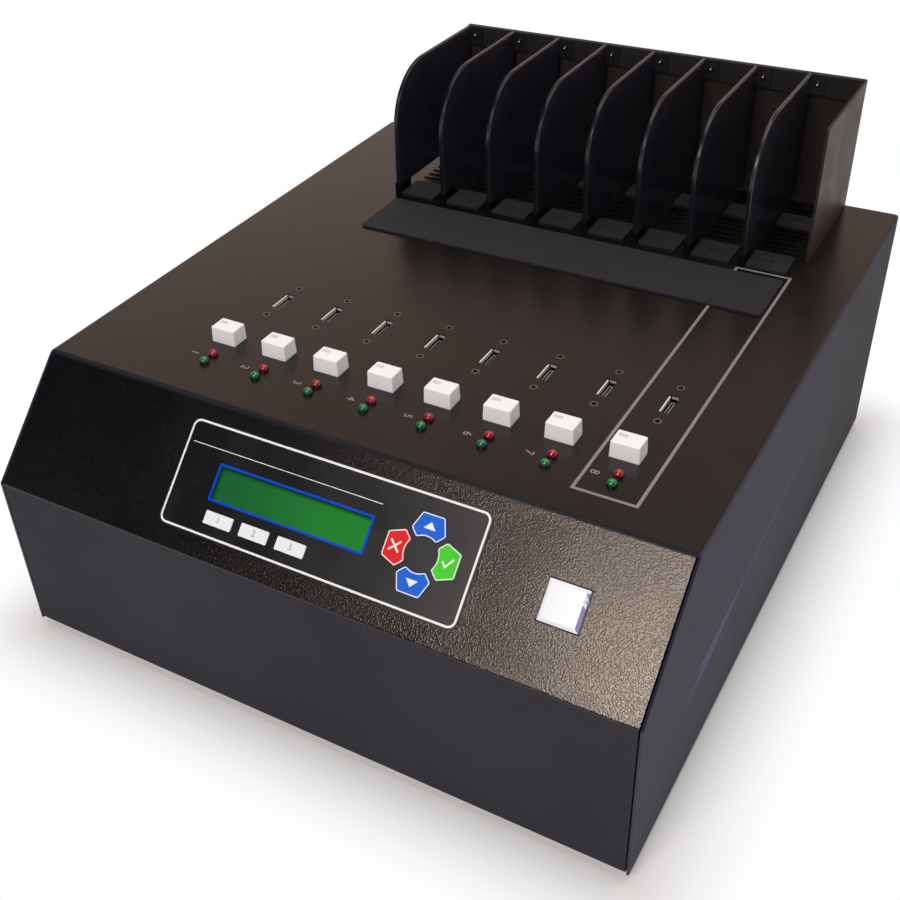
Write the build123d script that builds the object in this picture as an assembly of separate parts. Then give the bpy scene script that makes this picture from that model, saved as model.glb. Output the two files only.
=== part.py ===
from build123d import *
import math
import os

# A desk-top hard drive duplicator. Lengths are millimetres, angles degrees.
# X runs left to right, Y front to back and Z up. The origin is on the surface
# that the feet rest on, under the middle of the chassis.

# Chassis sheet metal
width = 350.0  # across the two side sheets
depth = 392.0  # front face to rear edge
height = 146.0  # underside to the flat top
front_height = 94.5  # underside to the fold at the foot of the slope
slope_run = 53.6  # how far back the slope reaches before the flat top
sheet = 1.2  # steel of the tray and of the cover
bend = 0.8  # inside radius of the bends
tray_lip = 14.0  # tray flange that carries the front of the top
tray_flange = 12.0  # upturned sides of the tray
cover_flange = 12.0  # cover edge turned in behind the rear wall

# Feet
foot_height = 5.0
foot_radius = 9.0
foot_taper = 1.5
foot_inset = 32.0  # foot centre from the chassis edges

# Countersunk screws
cover_screw_head = 2.8  # radii
cover_screw_shank = 1.5
cover_screw_tip = 0.6  # shank beyond the rear wall
port_screw_head = 2.15
port_screw_shank = 1.1
port_screw_length = 6.0  # shank in the port housing
cover_screw_x = 90.0  # top row, either side of the middle
cover_screw_low = 35.0  # side rows, above the underside
cover_screw_high = 105.0

# Drive rack
bay_count = 8
bay_pitch = 31.5
rack_right_margin = 31.0  # right wing to the right side of the chassis
rack_sheet = 1.5
rack_height = 76.5  # above the flat top
rack_depth = 100.5  # divider fronts to the rear edge of the chassis
rack_flange = 6.0  # foot of the back wall on the top
wing_depth = 81.0
rail_height = 12.5
rail_thickness = 2.0
divider_thickness = 2.5
divider_round = 36.0  # front top corner
divider_edge = 0.8  # rounding along the visible edges
divider_clear = 5.5  # gap between a divider and the top
tab_width = 11.0  # divider tab that is screwed to the rail
tab_height = 11.0
tab_thickness = 1.5
rail_screw_side = 6.5  # from the divider's left face
rail_screw_drop = 5.0  # from the top of the rack
rail_screw_head = 1.6
rail_screw_head_height = 1.1
rail_screw_shank = 1.0
shoe_length = 12.5
shoe_cheek = 0.8
shoe_groove = 1.0
column_shift = -2.25  # port columns and pads, from the middle of a bay
pad_gap = 0.2  # between a pad and a shoe
pad_height = 1.4
pad_corner = 1.0
pad_front_depth = 20.0
pad_rear_depth = 16.0
pad_rear_start = 57.0  # from the divider fronts
vent_width = 2.9
vent_pitch = 6.0
vent_length = 20.0
vent_shift = -1.2
vent_front_gap = 7.0  # front pad to the first slot
vent_land = 1.5  # least metal between a slot and a pad or the back wall's foot

# Rest mat in front of the rack
mat_left = 4.5  # from the left divider
mat_right = 5.3  # from the right wing
mat_depth = 41.0
mat_gap = 8.2  # behind the mat, to the divider fronts
mat_height = 1.2
mat_corner = 2.0

# Port columns on the flat top, distances measured back from the slope
lamp_green_back = 24.6
lamp_red_back = 31.9
button_back = 48.7
port_back = 93.2
lamp_radius = 2.5
lamp_straight = 0.6  # cylinder above the top, under the dome
lamp_flange = 0.5
lamp_flange_height = 1.0
lamp_hole_clearance = 0.1
lamp_leg = 0.7
lamp_leg_spacing = 2.5
button_x = 14.5
button_y = 10.7
button_taper = 0.3  # each side, base to top
button_height = 8.2
button_corner = 0.7
button_clearance = 0.35
button_skirt = 4.5  # below the top surface
button_travel = 2.5
button_shift = -2.4  # from the port column
stem_side = 4.5
stem_clearance = 0.3
switch_side = 11.5
switch_height = 10.0
switch_floor = 1.5
port_x = 6.2
port_y = 15.6
port_clearance = 0.2
port_wall = 0.35
port_set_back = 0.2  # shell mouth under the top surface
tongue_set_back = 2.8
tongue_x = 1.3
tongue_y = 11.0
port_screw_pitch = 30.6
housing_x = 9.6
housing_end = 4.5  # housing beyond the screw axis
housing_floor = 4.0
board = 1.6  # thickness of every circuit board
port_board_drop = 18.0  # top surface to the port board
port_board_margin = 16.0

# Control panel on the slope: x from the middle of the chassis, u up the slope
# from the middle of the slope
panel_x = 5.25
panel_u = 0.15
panel_length = 163.0
panel_width = 54.4
panel_corner = 5.0
overlay = 0.5
window_x = -10.0
window_u = 0.0
window_length = 84.0
window_width = 16.2
window_clearance = 0.2
display_margin_x = 5.0
display_margin_u = 4.2
display_depth = 5.0
function_x = (-43.4, -22.9, -2.4)
function_u = -16.9
function_length = 15.8
function_width = 6.4
function_corner = 0.6
ring_x = 60.0
ring_u = -0.25
ring_hole = 8.1
ring_gap = 2.4
ring_outer = 18.4
ring_flat = 5.6  # half of a key's outer edge
ring_shoulder = 10.4
ring_corner = 1.4
key_clearance = 0.25
key_proud = 0.3
key_travel = 0.5
key_switch_side = 6.0
key_switch_height = 3.4
key_switch_gap = 0.15
keypad_edge = 3.0

# Power button
power_x = 128.2
power_u = -0.5
power_side = 19.0
power_corner = 0.6  # corners of the bevelled face
power_proud = 2.2
power_bevel = 1.2
power_clearance = 0.4
power_skirt = 7.0
power_travel = 3.0
power_wall = 1.6
power_well = 11.0
power_body = 22.0
power_stem = 6.0
power_stem_length = 6.0

# Cooling fans
fan_size = 80.0
fan_depth = 25.0
fan_corner = 4.0
fan_wall = 2.0  # thinnest wall round the duct
fan_gap = 4.0
fan_plate = 2.5
fan_motor = 15.0
fan_strut = 4.0
fan_hub = 15.5
fan_hub_wall = 1.5
fan_running = 1.0  # gaps at the hub and at the blade tips
fan_shaft = 1.5
fan_shaft_clearance = 0.06
fan_blades = 7
fan_blade = 1.4
fan_blade_camber = 26.0  # radius of the blade's curve
fan_blade_slack = 1.5
rear_fan_x = 105.0  # middle of the rear fan, from the right side
grille_pitch = 6.5
grille_slot = 4.0
grille_count = 11

# Mains inlet with a rocker switch, on the rear wall
inlet_x = 57.0  # middle of the inlet, from the left side
inlet_up = 62.0  # above the underside
inlet_flange = (28.0, 48.0)
inlet_flange_thickness = 1.0
inlet_flange_corner = 2.0
inlet_body = (25.6, 45.6)
inlet_depth = 22.0
inlet_clearance = 0.2
socket_size = (24.0, 16.4)
socket_chamfer = 4.5
socket_depth = 15.0
socket_drop = 12.0  # under the middle of the flange
pin_size = (2.0, 4.0)
pin_length = 9.6
pin_spacing = 7.0
pin_offset = 2.0
well_size = (20.0, 13.5)
well_depth = 9.0
well_rise = 13.0
rocker_size = (18.6, 12.7)
rocker_proud = -0.25  # level of its ends against the rear wall, before it tips
rocker_dip = 1.4
rocker_pivot = 2.0  # depth of the pivot behind the flange
rocker_under = 3.2
rocker_pin = 1.0
rocker_pin_length = 1.2
rocker_pin_clearance = 0.06
rocker_throw = 18.0

# Inner parts
supply_size = (205.0, 110.0, 50.0)
supply_left = 14.0  # from the left side
supply_back = 30.5  # from the rear edge
supply_terminal = 16.0
supply_edge = 1.5
controller_size = (236.0, 118.0)
controller_front = 66.0  # from the front face
standoff_height = 8.0
standoff_radius = 3.0
standoff_inset = 8.0
connector_size = (10.0, 6.0, 8.0)
connector_edge = 7.75  # middle of the outer connectors, from the board's ends
cooler_size = (44.0, 44.0)
cooler_base = 4.0
cooler_fins = 8
cooler_fin = 2.0
cooler_height = 18.0
cooler_x = 10.0
cable_width = 8.0
cable_thickness = 1.2
cable_drop = 26.0
cable_run = 24.0
cable_radius = 16.0

# Places that follow from the sizes above
front_y = -depth / 2
back_y = depth / 2
floor_z = foot_height
top_z = floor_z + height
fold_z = floor_z + front_height
slope_top_y = front_y + slope_run
slope_rise = height - front_height
slope_angle = math.degrees(math.atan2(slope_rise, slope_run))
slope_length = math.hypot(slope_run, slope_rise)
under_top = top_z - sheet
tray_half = width / 2 - sheet - bend
wall_y = back_y - sheet  # outer face of the rear wall
wall_inner_y = wall_y - sheet
inner_floor_z = floor_z + sheet

slope_normal = (0, -math.sin(math.radians(slope_angle)), math.cos(math.radians(slope_angle)))
slope_plane = Plane(origin=(0, front_y, fold_z), x_dir=(1, 0, 0), z_dir=slope_normal)
panel_plane = slope_plane * Pos(0, slope_length / 2, 0)
power_place = panel_plane * Pos(power_x, power_u, 0)

rack_right = width / 2 - rack_right_margin
wing_inner = rack_right - rack_sheet
bay_clear = bay_pitch - divider_thickness
rack_left = wing_inner - bay_count * bay_pitch
rack_top = top_z + rack_height
rack_front = back_y - rack_depth
rail_y = back_y - rack_sheet - rail_thickness  # front face of the rail
shoe_width = divider_thickness + 2 * shoe_cheek
pad_width = bay_clear - 2 * (abs(column_shift) + shoe_cheek + pad_gap)
pad_rear = rack_front + pad_rear_start
divider_xs = [rack_left + k * bay_pitch for k in range(bay_count)]
column_xs = [x + divider_thickness + bay_clear / 2 + column_shift for x in divider_xs]

green_y = slope_top_y + lamp_green_back
red_y = slope_top_y + lamp_red_back
button_row_y = slope_top_y + button_back
port_row_y = slope_top_y + port_back
port_board_z = top_z - port_board_drop
connector_y = port_row_y + cable_run
controller_z = inner_floor_z + standoff_height
controller_middle = (column_xs[0] + column_xs[-1]) / 2
controller_low = (controller_middle - controller_size[0] / 2, front_y + controller_front)
controller_high = (controller_low[0] + controller_size[0], controller_low[1] + controller_size[1])
connector_pitch = (controller_size[0] - 2 * connector_edge) / (bay_count - 1)
connector_xs = [controller_low[0] + connector_edge + k * connector_pitch for k in range(bay_count)]
key_under = -sheet  # underside of a key, behind the slope surface
keypad_z = key_under - key_travel - key_switch_gap - key_switch_height

fan_duct = fan_size / 2 - fan_wall
rack_fan_y = wall_inner_y - fan_running - fan_size / 2
rack_fan_z = under_top - fan_depth
rack_middle = (rack_left + rack_right) / 2
rear_fan_middle = width / 2 - rear_fan_x
rear_fan_z = (inner_floor_z + rack_fan_z) / 2
rear_fan_y = wall_inner_y - fan_depth
inlet_middle = -width / 2 + inlet_x

UP = (Align.CENTER, Align.CENTER, Align.MIN)
DOWN = (Align.CENTER, Align.CENTER, Align.MAX)


def block(low, high):
    """A box given by its lowest and highest corners."""
    size = [b - a for a, b in zip(low, high)]
    return Pos(*low) * Box(*size, align=(Align.MIN, Align.MIN, Align.MIN))


def bent_sheet(points, thickness):
    """The section of a bent sheet: its outer line, with the sheet on the line's right."""
    line = FilletPolyline(*points, radius=bend + thickness)
    return make_face(offset(line, amount=thickness, side=Side.RIGHT))


def bar(low, high, radius):
    """A box with rounded upright edges."""
    shape = block(low, high)
    return fillet(shape.edges().filter_by(Axis.Z), radius)


def countersunk(head, shank, length):
    """A countersunk screw, its flat head at z = 0 and its shank pointing down."""
    foot = -sheet - length
    section = Polyline((0, 0), (head, 0), (shank, -sheet), (shank, foot), (0, foot), (0, 0))
    return revolve(Plane.XZ * make_face(section), Axis.Z)


def cover_screws():
    """Six screws through the cover's flange into the rear wall."""
    screw = countersunk(cover_screw_head, cover_screw_shank, sheet + cover_screw_tip)
    return [place * screw for place in cover_screw_places()]


def port_screws():
    """Two screws through the top beside each port."""
    screw = countersunk(port_screw_head, port_screw_shank, port_screw_length)
    return [place * screw for place in port_screw_places()]


def cover_screw_places():
    """The rear screws, pointing forward through the cover's flange into the rear wall."""
    side = width / 2 - sheet - cover_flange / 2
    high = under_top - cover_flange / 2
    spots = [(-cover_screw_x, high), (cover_screw_x, high)]
    for x in (-side, side):
        spots.append((x, floor_z + cover_screw_low))
        spots.append((x, floor_z + cover_screw_high))
    return [Pos(x, back_y, z) * Rot(-90, 0, 0) for x, z in spots]


def port_screw_places():
    """The two screws beside each port."""
    places = []
    for x in column_xs:
        for side in (-1, 1):
            places.append(Pos(x, port_row_y + side * port_screw_pitch / 2, top_z))
    return places


def ring_key():
    """One key of the ring, above the ring's middle: a hollow inner arc and five straight edges."""
    facet = ring_gap / math.sqrt(2)
    inner = (math.sqrt(2 * ring_hole**2 - facet**2) - facet) / 2
    low = (inner, inner + facet)
    arc = ThreePointArc((-low[0], low[1]), (0, ring_hole), low)
    edges = Polyline(
        low,
        (ring_shoulder - facet, ring_shoulder),
        (ring_flat, ring_outer),
        (-ring_flat, ring_outer),
        (facet - ring_shoulder, ring_shoulder),
        (-low[0], low[1]),
    )
    face = make_face(arc + edges)
    return fillet(face.vertices(), ring_corner)


def function_key():
    """One flat function key."""
    return RectangleRounded(function_length, function_width, function_corner)


def key_places():
    """Name, outline and place on the panel of each key."""
    places = []
    for number, x in enumerate(function_x, 1):
        places.append((f"key_function_{number}", function_key(), Pos(x, function_u)))
    for turn, name in enumerate(("key_up", "key_escape", "key_down", "key_enter")):
        places.append((name, ring_key(), Pos(ring_x, ring_u) * Rot(0, 0, 90 * turn)))
    return places


def key_centres():
    """The middle of each key, where its switch stands."""
    centres = [(x, function_u) for x in function_x]
    middle = (ring_hole + ring_outer) / 2
    for turn in range(4):
        angle = math.radians(90 + 90 * turn)
        centres.append((ring_x + middle * math.cos(angle), ring_u + middle * math.sin(angle)))
    return centres


def key_cutters(depth_below):
    """Openings that the keys run in, through everything from above the overlay downwards."""
    cutters = []
    for _, face, place in key_places():
        grown = panel_plane * place * offset(face, key_clearance)
        cutters.append(extrude(grown, amount=depth_below, both=True))
    return cutters


def window_cutter(clearance):
    """The display opening through the slope and the overlay."""
    size = (window_length + 2 * clearance, window_width + 2 * clearance)
    through = 2 * (sheet + overlay)
    return panel_plane * Pos(window_x, window_u, 0) * Box(*size, 2 * through)


def rear_place(x, z):
    """A place on the rear wall's outer face, looking at it from behind."""
    return Plane(origin=(x, wall_y, z), x_dir=(-1, 0, 0), z_dir=(0, 1, 0))


def grille_cutters():
    """Level slots that fill the rear fan's circle."""
    cutters = []
    place = rear_place(rear_fan_middle, rear_fan_z)
    for row in range(grille_count):
        offset_up = (row - (grille_count - 1) / 2) * grille_pitch
        reach = fan_duct**2 - (abs(offset_up) + grille_slot / 2) ** 2
        half = math.sqrt(max(reach, 0.0))
        if half > grille_slot:
            cutters.append(place * Pos(0, offset_up, 0) * Box(2 * half, grille_slot, 4 * sheet))
    return cutters


def base_tray():
    """Slope, front, floor and rear wall, bent from one sheet, with upturned sides."""
    lip_y = slope_top_y - sheet / math.tan(math.radians(slope_angle))
    section = bent_sheet(
        [
            (wall_y, under_top),
            (wall_y, floor_z),
            (front_y, floor_z),
            (front_y, fold_z),
            (lip_y, under_top),
            (lip_y + tray_lip, under_top),
        ],
        sheet,
    )
    tray = extrude(Plane.YZ * section, amount=tray_half, both=True)
    for side in (-1, 1):
        edge = sorted((side * tray_half, side * (tray_half - sheet)))
        low = (edge[0], front_y + sheet, floor_z + sheet / 2)
        tray += block(low, (edge[1], wall_inner_y, floor_z + tray_flange))
    tray -= window_cutter(window_clearance)
    tray -= key_cutters(sheet + overlay)
    hole = power_side + 2 * power_clearance
    tray -= power_place * Box(hole, hole, 4 * sheet)
    tray -= grille_cutters()
    tray -= inlet_place() * Box(*[size + 2 * inlet_clearance for size in inlet_body], 4 * sheet)
    tray -= cover_screws()
    return tray


def top_cutters():
    """All the openings of the flat top."""
    cutters = []
    tall = 4 * sheet
    for x in column_xs:
        for y in (green_y, red_y):
            cutters.append(Pos(x, y, top_z) * Cylinder(lamp_radius + lamp_hole_clearance, tall))
        hole = (button_x + 2 * button_clearance, button_y + 2 * button_clearance)
        cutters.append(Pos(x + button_shift, button_row_y, top_z) * Box(*hole, tall))
        cutters.append(Pos(x, port_row_y, top_z) * Box(port_x, port_y, tall))
        for y in vent_rows():
            cutters.append(Pos(x + vent_shift, y, top_z) * Box(vent_length, vent_width, tall))
    return cutters + port_screws()


def vent_rows():
    """Evenly spaced slots from the front pads to the back wall, except under the rear pads."""
    reach = vent_width / 2 + vent_land
    first = rack_front + pad_front_depth + vent_front_gap + vent_width / 2
    last = back_y - rack_flange - reach
    count = int((last - first) / vent_pitch) + 1
    rows = [first + slot * vent_pitch for slot in range(count)]
    return [y for y in rows if y + reach < pad_rear or y - reach > pad_rear + pad_rear_depth]


def top_cover():
    """Flat top and both sides, bent from one sheet, with edges turned in at the rear."""
    half = width / 2
    section = bent_sheet([(-half, floor_z), (-half, top_z), (half, top_z), (half, floor_z)], sheet)
    cover = extrude(Plane.XZ * section, amount=depth / 2, both=True)
    reach = depth + width + height
    cover -= slope_plane * Box(reach, reach, reach, align=UP)
    inside = half - sheet
    frame = block((-inside, wall_y, floor_z), (inside, back_y, under_top))
    open_half = inside - cover_flange
    frame -= block((-open_half, wall_y, floor_z), (open_half, back_y, under_top - cover_flange))
    cover += frame
    cover -= top_cutters()
    cover -= cover_screws()
    return cover


def rubber_feet():
    """Four tapered round feet under the tray."""
    foot = Cone(foot_radius - foot_taper, foot_radius, foot_height, align=UP)
    x = width / 2 - foot_inset
    y = depth / 2 - foot_inset
    return [Pos(i * x, j * y, 0) * foot for i in (-1, 1) for j in (-1, 1)]


def rail_screw_places():
    """One screw through each divider's tab, its head at the front."""
    places = []
    for x in divider_xs:
        z = rack_top - rail_screw_drop
        places.append(Pos(x + rail_screw_side, rail_y - tab_thickness, z) * Rot(90, 0, 0))
    return places


def rail_screw():
    """A small pan-head screw, its head above z = 0 and its shank below."""
    head = Cylinder(rail_screw_head, rail_screw_head_height, align=UP)
    head = fillet(head.edges().sort_by(Axis.Z)[-1], rail_screw_head_height / 2)
    return head + Cylinder(rail_screw_shank, tab_thickness + rail_thickness, align=DOWN)


def rack_bracket():
    """Back wall with its foot flange and the right wing, bent from one sheet."""
    outline = [
        (rack_right, back_y - wing_depth),
        (rack_right, back_y),
        (rack_left, back_y),
    ]
    line = FilletPolyline(*outline, radius=bend + rack_sheet)
    section = make_face(offset(line, amount=rack_sheet, side=Side.LEFT))
    bracket = extrude(Pos(0, 0, top_z) * section, amount=rack_height)
    low = (rack_left, back_y - rack_flange, top_z)
    bracket += block(low, (wing_inner, back_y - rack_sheet / 2, top_z + rack_sheet))
    return bracket


def rack_rail():
    """Bar along the top of the back wall that carries the dividers."""
    low = (rack_left, rail_y, rack_top - rail_height)
    rail = block(low, (wing_inner - bend, back_y - rack_sheet, rack_top))
    return rail - [place * rail_screw() for place in rail_screw_places()]


def divider(x):
    """A plate with a large rounded front corner and a tab at the top of its rear edge."""
    base = top_z + divider_clear
    outline = Pos(rack_front, base) * Rectangle(
        rail_y - rack_front, rack_top - base, align=(Align.MIN, Align.MIN)
    )
    corner = outline.vertices().group_by(Axis.X)[0].sort_by(Axis.Y)[-1]
    outline = fillet(corner, divider_round)
    plate = extrude(Plane.YZ.offset(x) * outline, amount=divider_thickness)
    seen = plate.edges().filter_by(
        lambda e: e.bounding_box().size.X < divider_edge
        and e.center().Y < rail_y - divider_edge
        and e.center().Z > base + divider_edge
    )
    plate = fillet(seen, divider_edge)
    low = (x + divider_thickness / 2, rail_y - tab_thickness, rack_top - tab_height)
    plate += block(low, (x + tab_width, rail_y, rack_top - divider_edge))
    return plate - [place * rail_screw() for place in rail_screw_places()]


def divider_shoes():
    """A small grooved block under the front end of each divider."""
    shoes = []
    for x in divider_xs:
        low = (x - shoe_cheek, rack_front, top_z)
        high = (x - shoe_cheek + shoe_width, rack_front + shoe_length, top_z + divider_clear + shoe_groove)
        shoe = block(low, high)
        groove_low = (x, rack_front, top_z + divider_clear)
        shoes.append(shoe - block(groove_low, (x + divider_thickness, high[1], high[2])))
    return shoes


def drive_pads():
    """Two soft pads in each bay that the drive stands on."""
    pads = []
    for x in column_xs:
        for y, length in ((rack_front, pad_front_depth), (pad_rear, pad_rear_depth)):
            low = (x - pad_width / 2, y, top_z)
            pad = bar(low, (x + pad_width / 2, y + length, top_z + pad_height), pad_corner)
            pads.append(pad)
    return pads


def rest_mat():
    """Flat mat on the top, in front of the rack."""
    rear = rack_front - mat_gap
    low = (rack_left + mat_left, rear - mat_depth, top_z)
    return bar(low, (rack_right - mat_right, rear, top_z + mat_height), mat_corner)


def lamp(x, y):
    """A domed lamp that stands in the top, with its legs on the port board."""
    body = Cylinder(lamp_radius, sheet + lamp_straight, align=UP)
    body += Pos(0, 0, sheet + lamp_straight) * (
        Sphere(lamp_radius) & Cylinder(lamp_radius, lamp_radius, align=UP)
    )
    body += Cylinder(lamp_radius + lamp_flange, lamp_flange_height, align=DOWN)
    leg_length = under_top - lamp_flange_height - port_board_z
    for side in (-1, 1):
        leg = Box(lamp_leg, lamp_leg, leg_length, align=DOWN)
        body += Pos(side * lamp_leg_spacing / 2, 0, -lamp_flange_height) * leg
    return Pos(x, y, under_top) * body


def port_button(x):
    """A tapered push-button cap on a skirt and a square stem."""
    base = Pos(0, 0, 0) * RectangleRounded(button_x, button_y, button_corner)
    tip_size = (button_x - 2 * button_taper, button_y - 2 * button_taper)
    tip = Pos(0, 0, button_height) * RectangleRounded(*tip_size, button_corner)
    cap = loft([base, tip])
    cap = fillet(cap.edges().group_by(Axis.Z)[-1], button_corner)
    cap += extrude(base, amount=-button_skirt)
    stem_foot = port_board_z + board_to_stem()
    stem = Box(stem_side, stem_side, top_z - button_skirt - stem_foot, align=DOWN)
    cap += Pos(0, 0, -button_skirt) * stem
    return Pos(x + button_shift, button_row_y, top_z) * cap


def board_to_stem():
    """Height of a released stem's foot above the port board."""
    return switch_floor + button_travel + stem_clearance


def button_switches():
    """Switch bodies on the port board, each with a square well for a stem."""
    switches = []
    well = stem_side + 2 * stem_clearance
    for x in column_xs:
        body = Box(switch_side, switch_side, switch_height, align=UP)
        body = chamfer(body.edges().group_by(Axis.Z)[-1], switch_floor / 2)
        body -= Pos(0, 0, switch_floor) * Box(well, well, switch_height, align=UP)
        switches.append(Pos(x + button_shift, button_row_y, port_board_z) * body)
    return switches


def port_housings():
    """Moulded port bodies under the top: a pocket with a contact tongue and two screw ears."""
    pocket = (port_x - 2 * port_clearance, port_y - 2 * port_clearance)
    tall = under_top - port_board_z
    housings = []
    for x in column_xs:
        length = port_screw_pitch + 2 * housing_end
        body = Box(housing_x, length, tall, align=UP)
        body = fillet(body.edges().filter_by(Axis.Z), housing_end / 2)
        body -= Pos(0, 0, housing_floor) * Box(*pocket, tall, align=UP)
        tongue = top_z - tongue_set_back - port_board_z - housing_floor
        body += Pos(0, 0, housing_floor) * Box(tongue_x, tongue_y, tongue, align=UP)
        body = Pos(x, port_row_y, port_board_z) * body - port_screws()
        housings.append(body)
    return housings


def port_shells():
    """Bright metal sleeves that line the ports."""
    outer = (port_x - 2 * port_clearance, port_y - 2 * port_clearance)
    inner = [size - 2 * port_wall for size in outer]
    foot = port_board_z + housing_floor
    tall = top_z - port_set_back - foot
    shells = []
    for x in column_xs:
        sleeve = Box(*outer, tall, align=UP) - Box(*inner, tall, align=UP)
        shells.append(Pos(x, port_row_y, foot) * sleeve)
    return shells


def port_board():
    """Circuit board under the top that carries the ports, lamps and switches."""
    low = (column_xs[0] - port_board_margin, green_y - port_board_margin / 2, port_board_z - board)
    rear = port_row_y + port_screw_pitch / 2 + port_board_margin / 2
    return block(low, (column_xs[-1] + port_board_margin, rear, port_board_z))


def control_overlay():
    """Printed panel on the slope, with openings for the window and the keys."""
    outline = RectangleRounded(panel_length, panel_width, panel_corner)
    panel = extrude(panel_plane * Pos(panel_x, panel_u) * outline, amount=overlay)
    panel -= window_cutter(0.0)
    panel -= key_cutters(sheet + overlay)
    return panel


def display_window():
    """Clear window, level with the overlay and standing on the display behind it."""
    place = panel_plane * Pos(window_x, window_u, overlay)
    return place * Box(window_length, window_width, overlay + sheet, align=DOWN)


def display_module():
    """Character display behind the slope: its framed cell on a circuit board."""
    length = window_length + 2 * display_margin_x
    cell_width = window_width + 2 * display_margin_u
    cell = Box(length, cell_width, display_depth, align=DOWN)
    cell = chamfer(cell.edges().group_by(Axis.Z)[-1], sheet / 2)
    back = Pos(0, 0, -display_depth) * Box(length + board, cell_width, board, align=DOWN)
    return panel_plane * Pos(window_x, window_u, -sheet) * (cell + back)


def key(face, place):
    """A key cap that runs through the overlay and the slope, just proud of the overlay."""
    cap = extrude(Pos(0, 0, key_under) * face, amount=sheet + overlay + key_proud)
    cap = chamfer(cap.edges().group_by(Axis.Z)[-1], key_proud / 2)
    return panel_plane * place * cap


def key_switches():
    """Small switches on the keypad board, one behind each key."""
    switch = Box(key_switch_side, key_switch_side, key_switch_height, align=UP)
    switch = chamfer(switch.edges().group_by(Axis.Z)[-1], key_switch_height / 8)
    return [panel_plane * Pos(x, u, keypad_z) * switch for x, u in key_centres()]


def keypad_board():
    """Board behind the keys, passing under the display."""
    half = key_switch_side / 2 + keypad_edge
    low = function_u - half
    strip_top = window_u - window_width / 2 - display_margin_u - key_switch_gap
    ring_reach = (ring_hole + ring_outer) / 2 + half
    cell_right = window_x + window_length / 2 + display_margin_x + board
    left = function_x[0] - half
    right = ring_x + ring_reach
    height_above = ring_u + ring_reach
    outline = Polyline(
        (left, low),
        (right, low),
        (right, height_above),
        (cell_right, height_above),
        (cell_right, strip_top),
        (left, strip_top),
        (left, low),
    )
    return panel_plane * (Pos(0, 0, keypad_z - board) * extrude(make_face(outline), amount=board))


def power_button():
    """Square power button with a bevelled face, a skirt and a stem."""
    face = RectangleRounded(power_side, power_side, power_corner + power_bevel)
    cap = extrude(Pos(0, 0, -power_skirt) * face, amount=power_skirt + power_proud)
    cap = chamfer(cap.edges().group_by(Axis.Z)[-1], power_bevel)
    stem = Box(power_stem, power_stem, power_stem_length, align=DOWN)
    return power_place * (cap + Pos(0, 0, -power_skirt) * stem)


def power_switch():
    """Switch body behind the slope: a square sleeve round the skirt and a well for the stem."""
    hole = power_side + 2 * power_clearance
    outer = hole + 2 * power_wall
    body = Box(outer, outer, power_body, align=DOWN)
    body = chamfer(body.edges().group_by(Axis.Z)[0], power_wall)
    body -= Box(hole, hole, power_well - sheet, align=DOWN)
    well = power_stem + 2 * stem_clearance
    deep = power_skirt + power_stem_length + power_travel + stem_clearance - sheet
    body -= Box(well, well, deep, align=DOWN)
    return power_place * Pos(0, 0, -sheet) * body


def fan_frame():
    """Square fan housing: a round duct with a motor plate on four struts at its lower end."""
    frame = Box(fan_size, fan_size, fan_depth, align=UP)
    frame = fillet(frame.edges().filter_by(Axis.Z), fan_corner)
    frame -= Cylinder(fan_duct, fan_depth, align=UP)
    frame += Cylinder(fan_motor, fan_plate, align=UP)
    strut = Box(fan_duct + fan_wall / 2, fan_strut, fan_plate, align=(Align.MIN, Align.CENTER, Align.MIN))
    for turn in range(4):
        frame += Rot(0, 0, 45 + 90 * turn) * strut
    bore = fan_shaft + fan_shaft_clearance
    return frame - Cylinder(bore, fan_plate, align=UP)


def fan_rotor():
    """Fan wheel: a cup hub on a shaft with curved, pitched blades."""
    low = fan_plate + fan_running
    tall = fan_depth - fan_running - low
    hub = Pos(0, 0, low) * Cylinder(fan_hub, tall, align=UP)
    hub -= Pos(0, 0, low) * Cylinder(fan_hub - fan_hub_wall, tall - fan_hub_wall, align=UP)
    rotor = hub + Cylinder(fan_shaft, low + tall - fan_hub_wall / 2, align=UP)
    reach = tall / 2 - fan_blade_slack
    curve = RadiusArc((-reach, -reach), (reach, reach), fan_blade_camber)
    section = Plane.YZ * trace(curve, line_width=fan_blade)
    blade = extrude(section, amount=fan_duct)
    ring = Cylinder(fan_duct - fan_running, fan_depth) - Cylinder(fan_hub - fan_hub_wall / 2, fan_depth)
    blade = Pos(0, 0, low + tall / 2) * (blade & ring)
    for turn in range(fan_blades):
        rotor += Rot(0, 0, turn * 360 / fan_blades) * blade
    return rotor


def fan_places():
    """Three fans under the rack, blowing up, and one on the rear wall, blowing out."""
    places = []
    for step in (-1, 0, 1):
        places.append(Pos(rack_middle + step * (fan_size + fan_gap), rack_fan_y, rack_fan_z))
    places.append(Pos(rear_fan_middle, rear_fan_y, rear_fan_z) * Rot(-90, 0, 0))
    return places


def inlet_place():
    """The inlet's place on the rear wall, looking at it from behind."""
    return rear_place(inlet_middle, floor_z + inlet_up)


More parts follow.
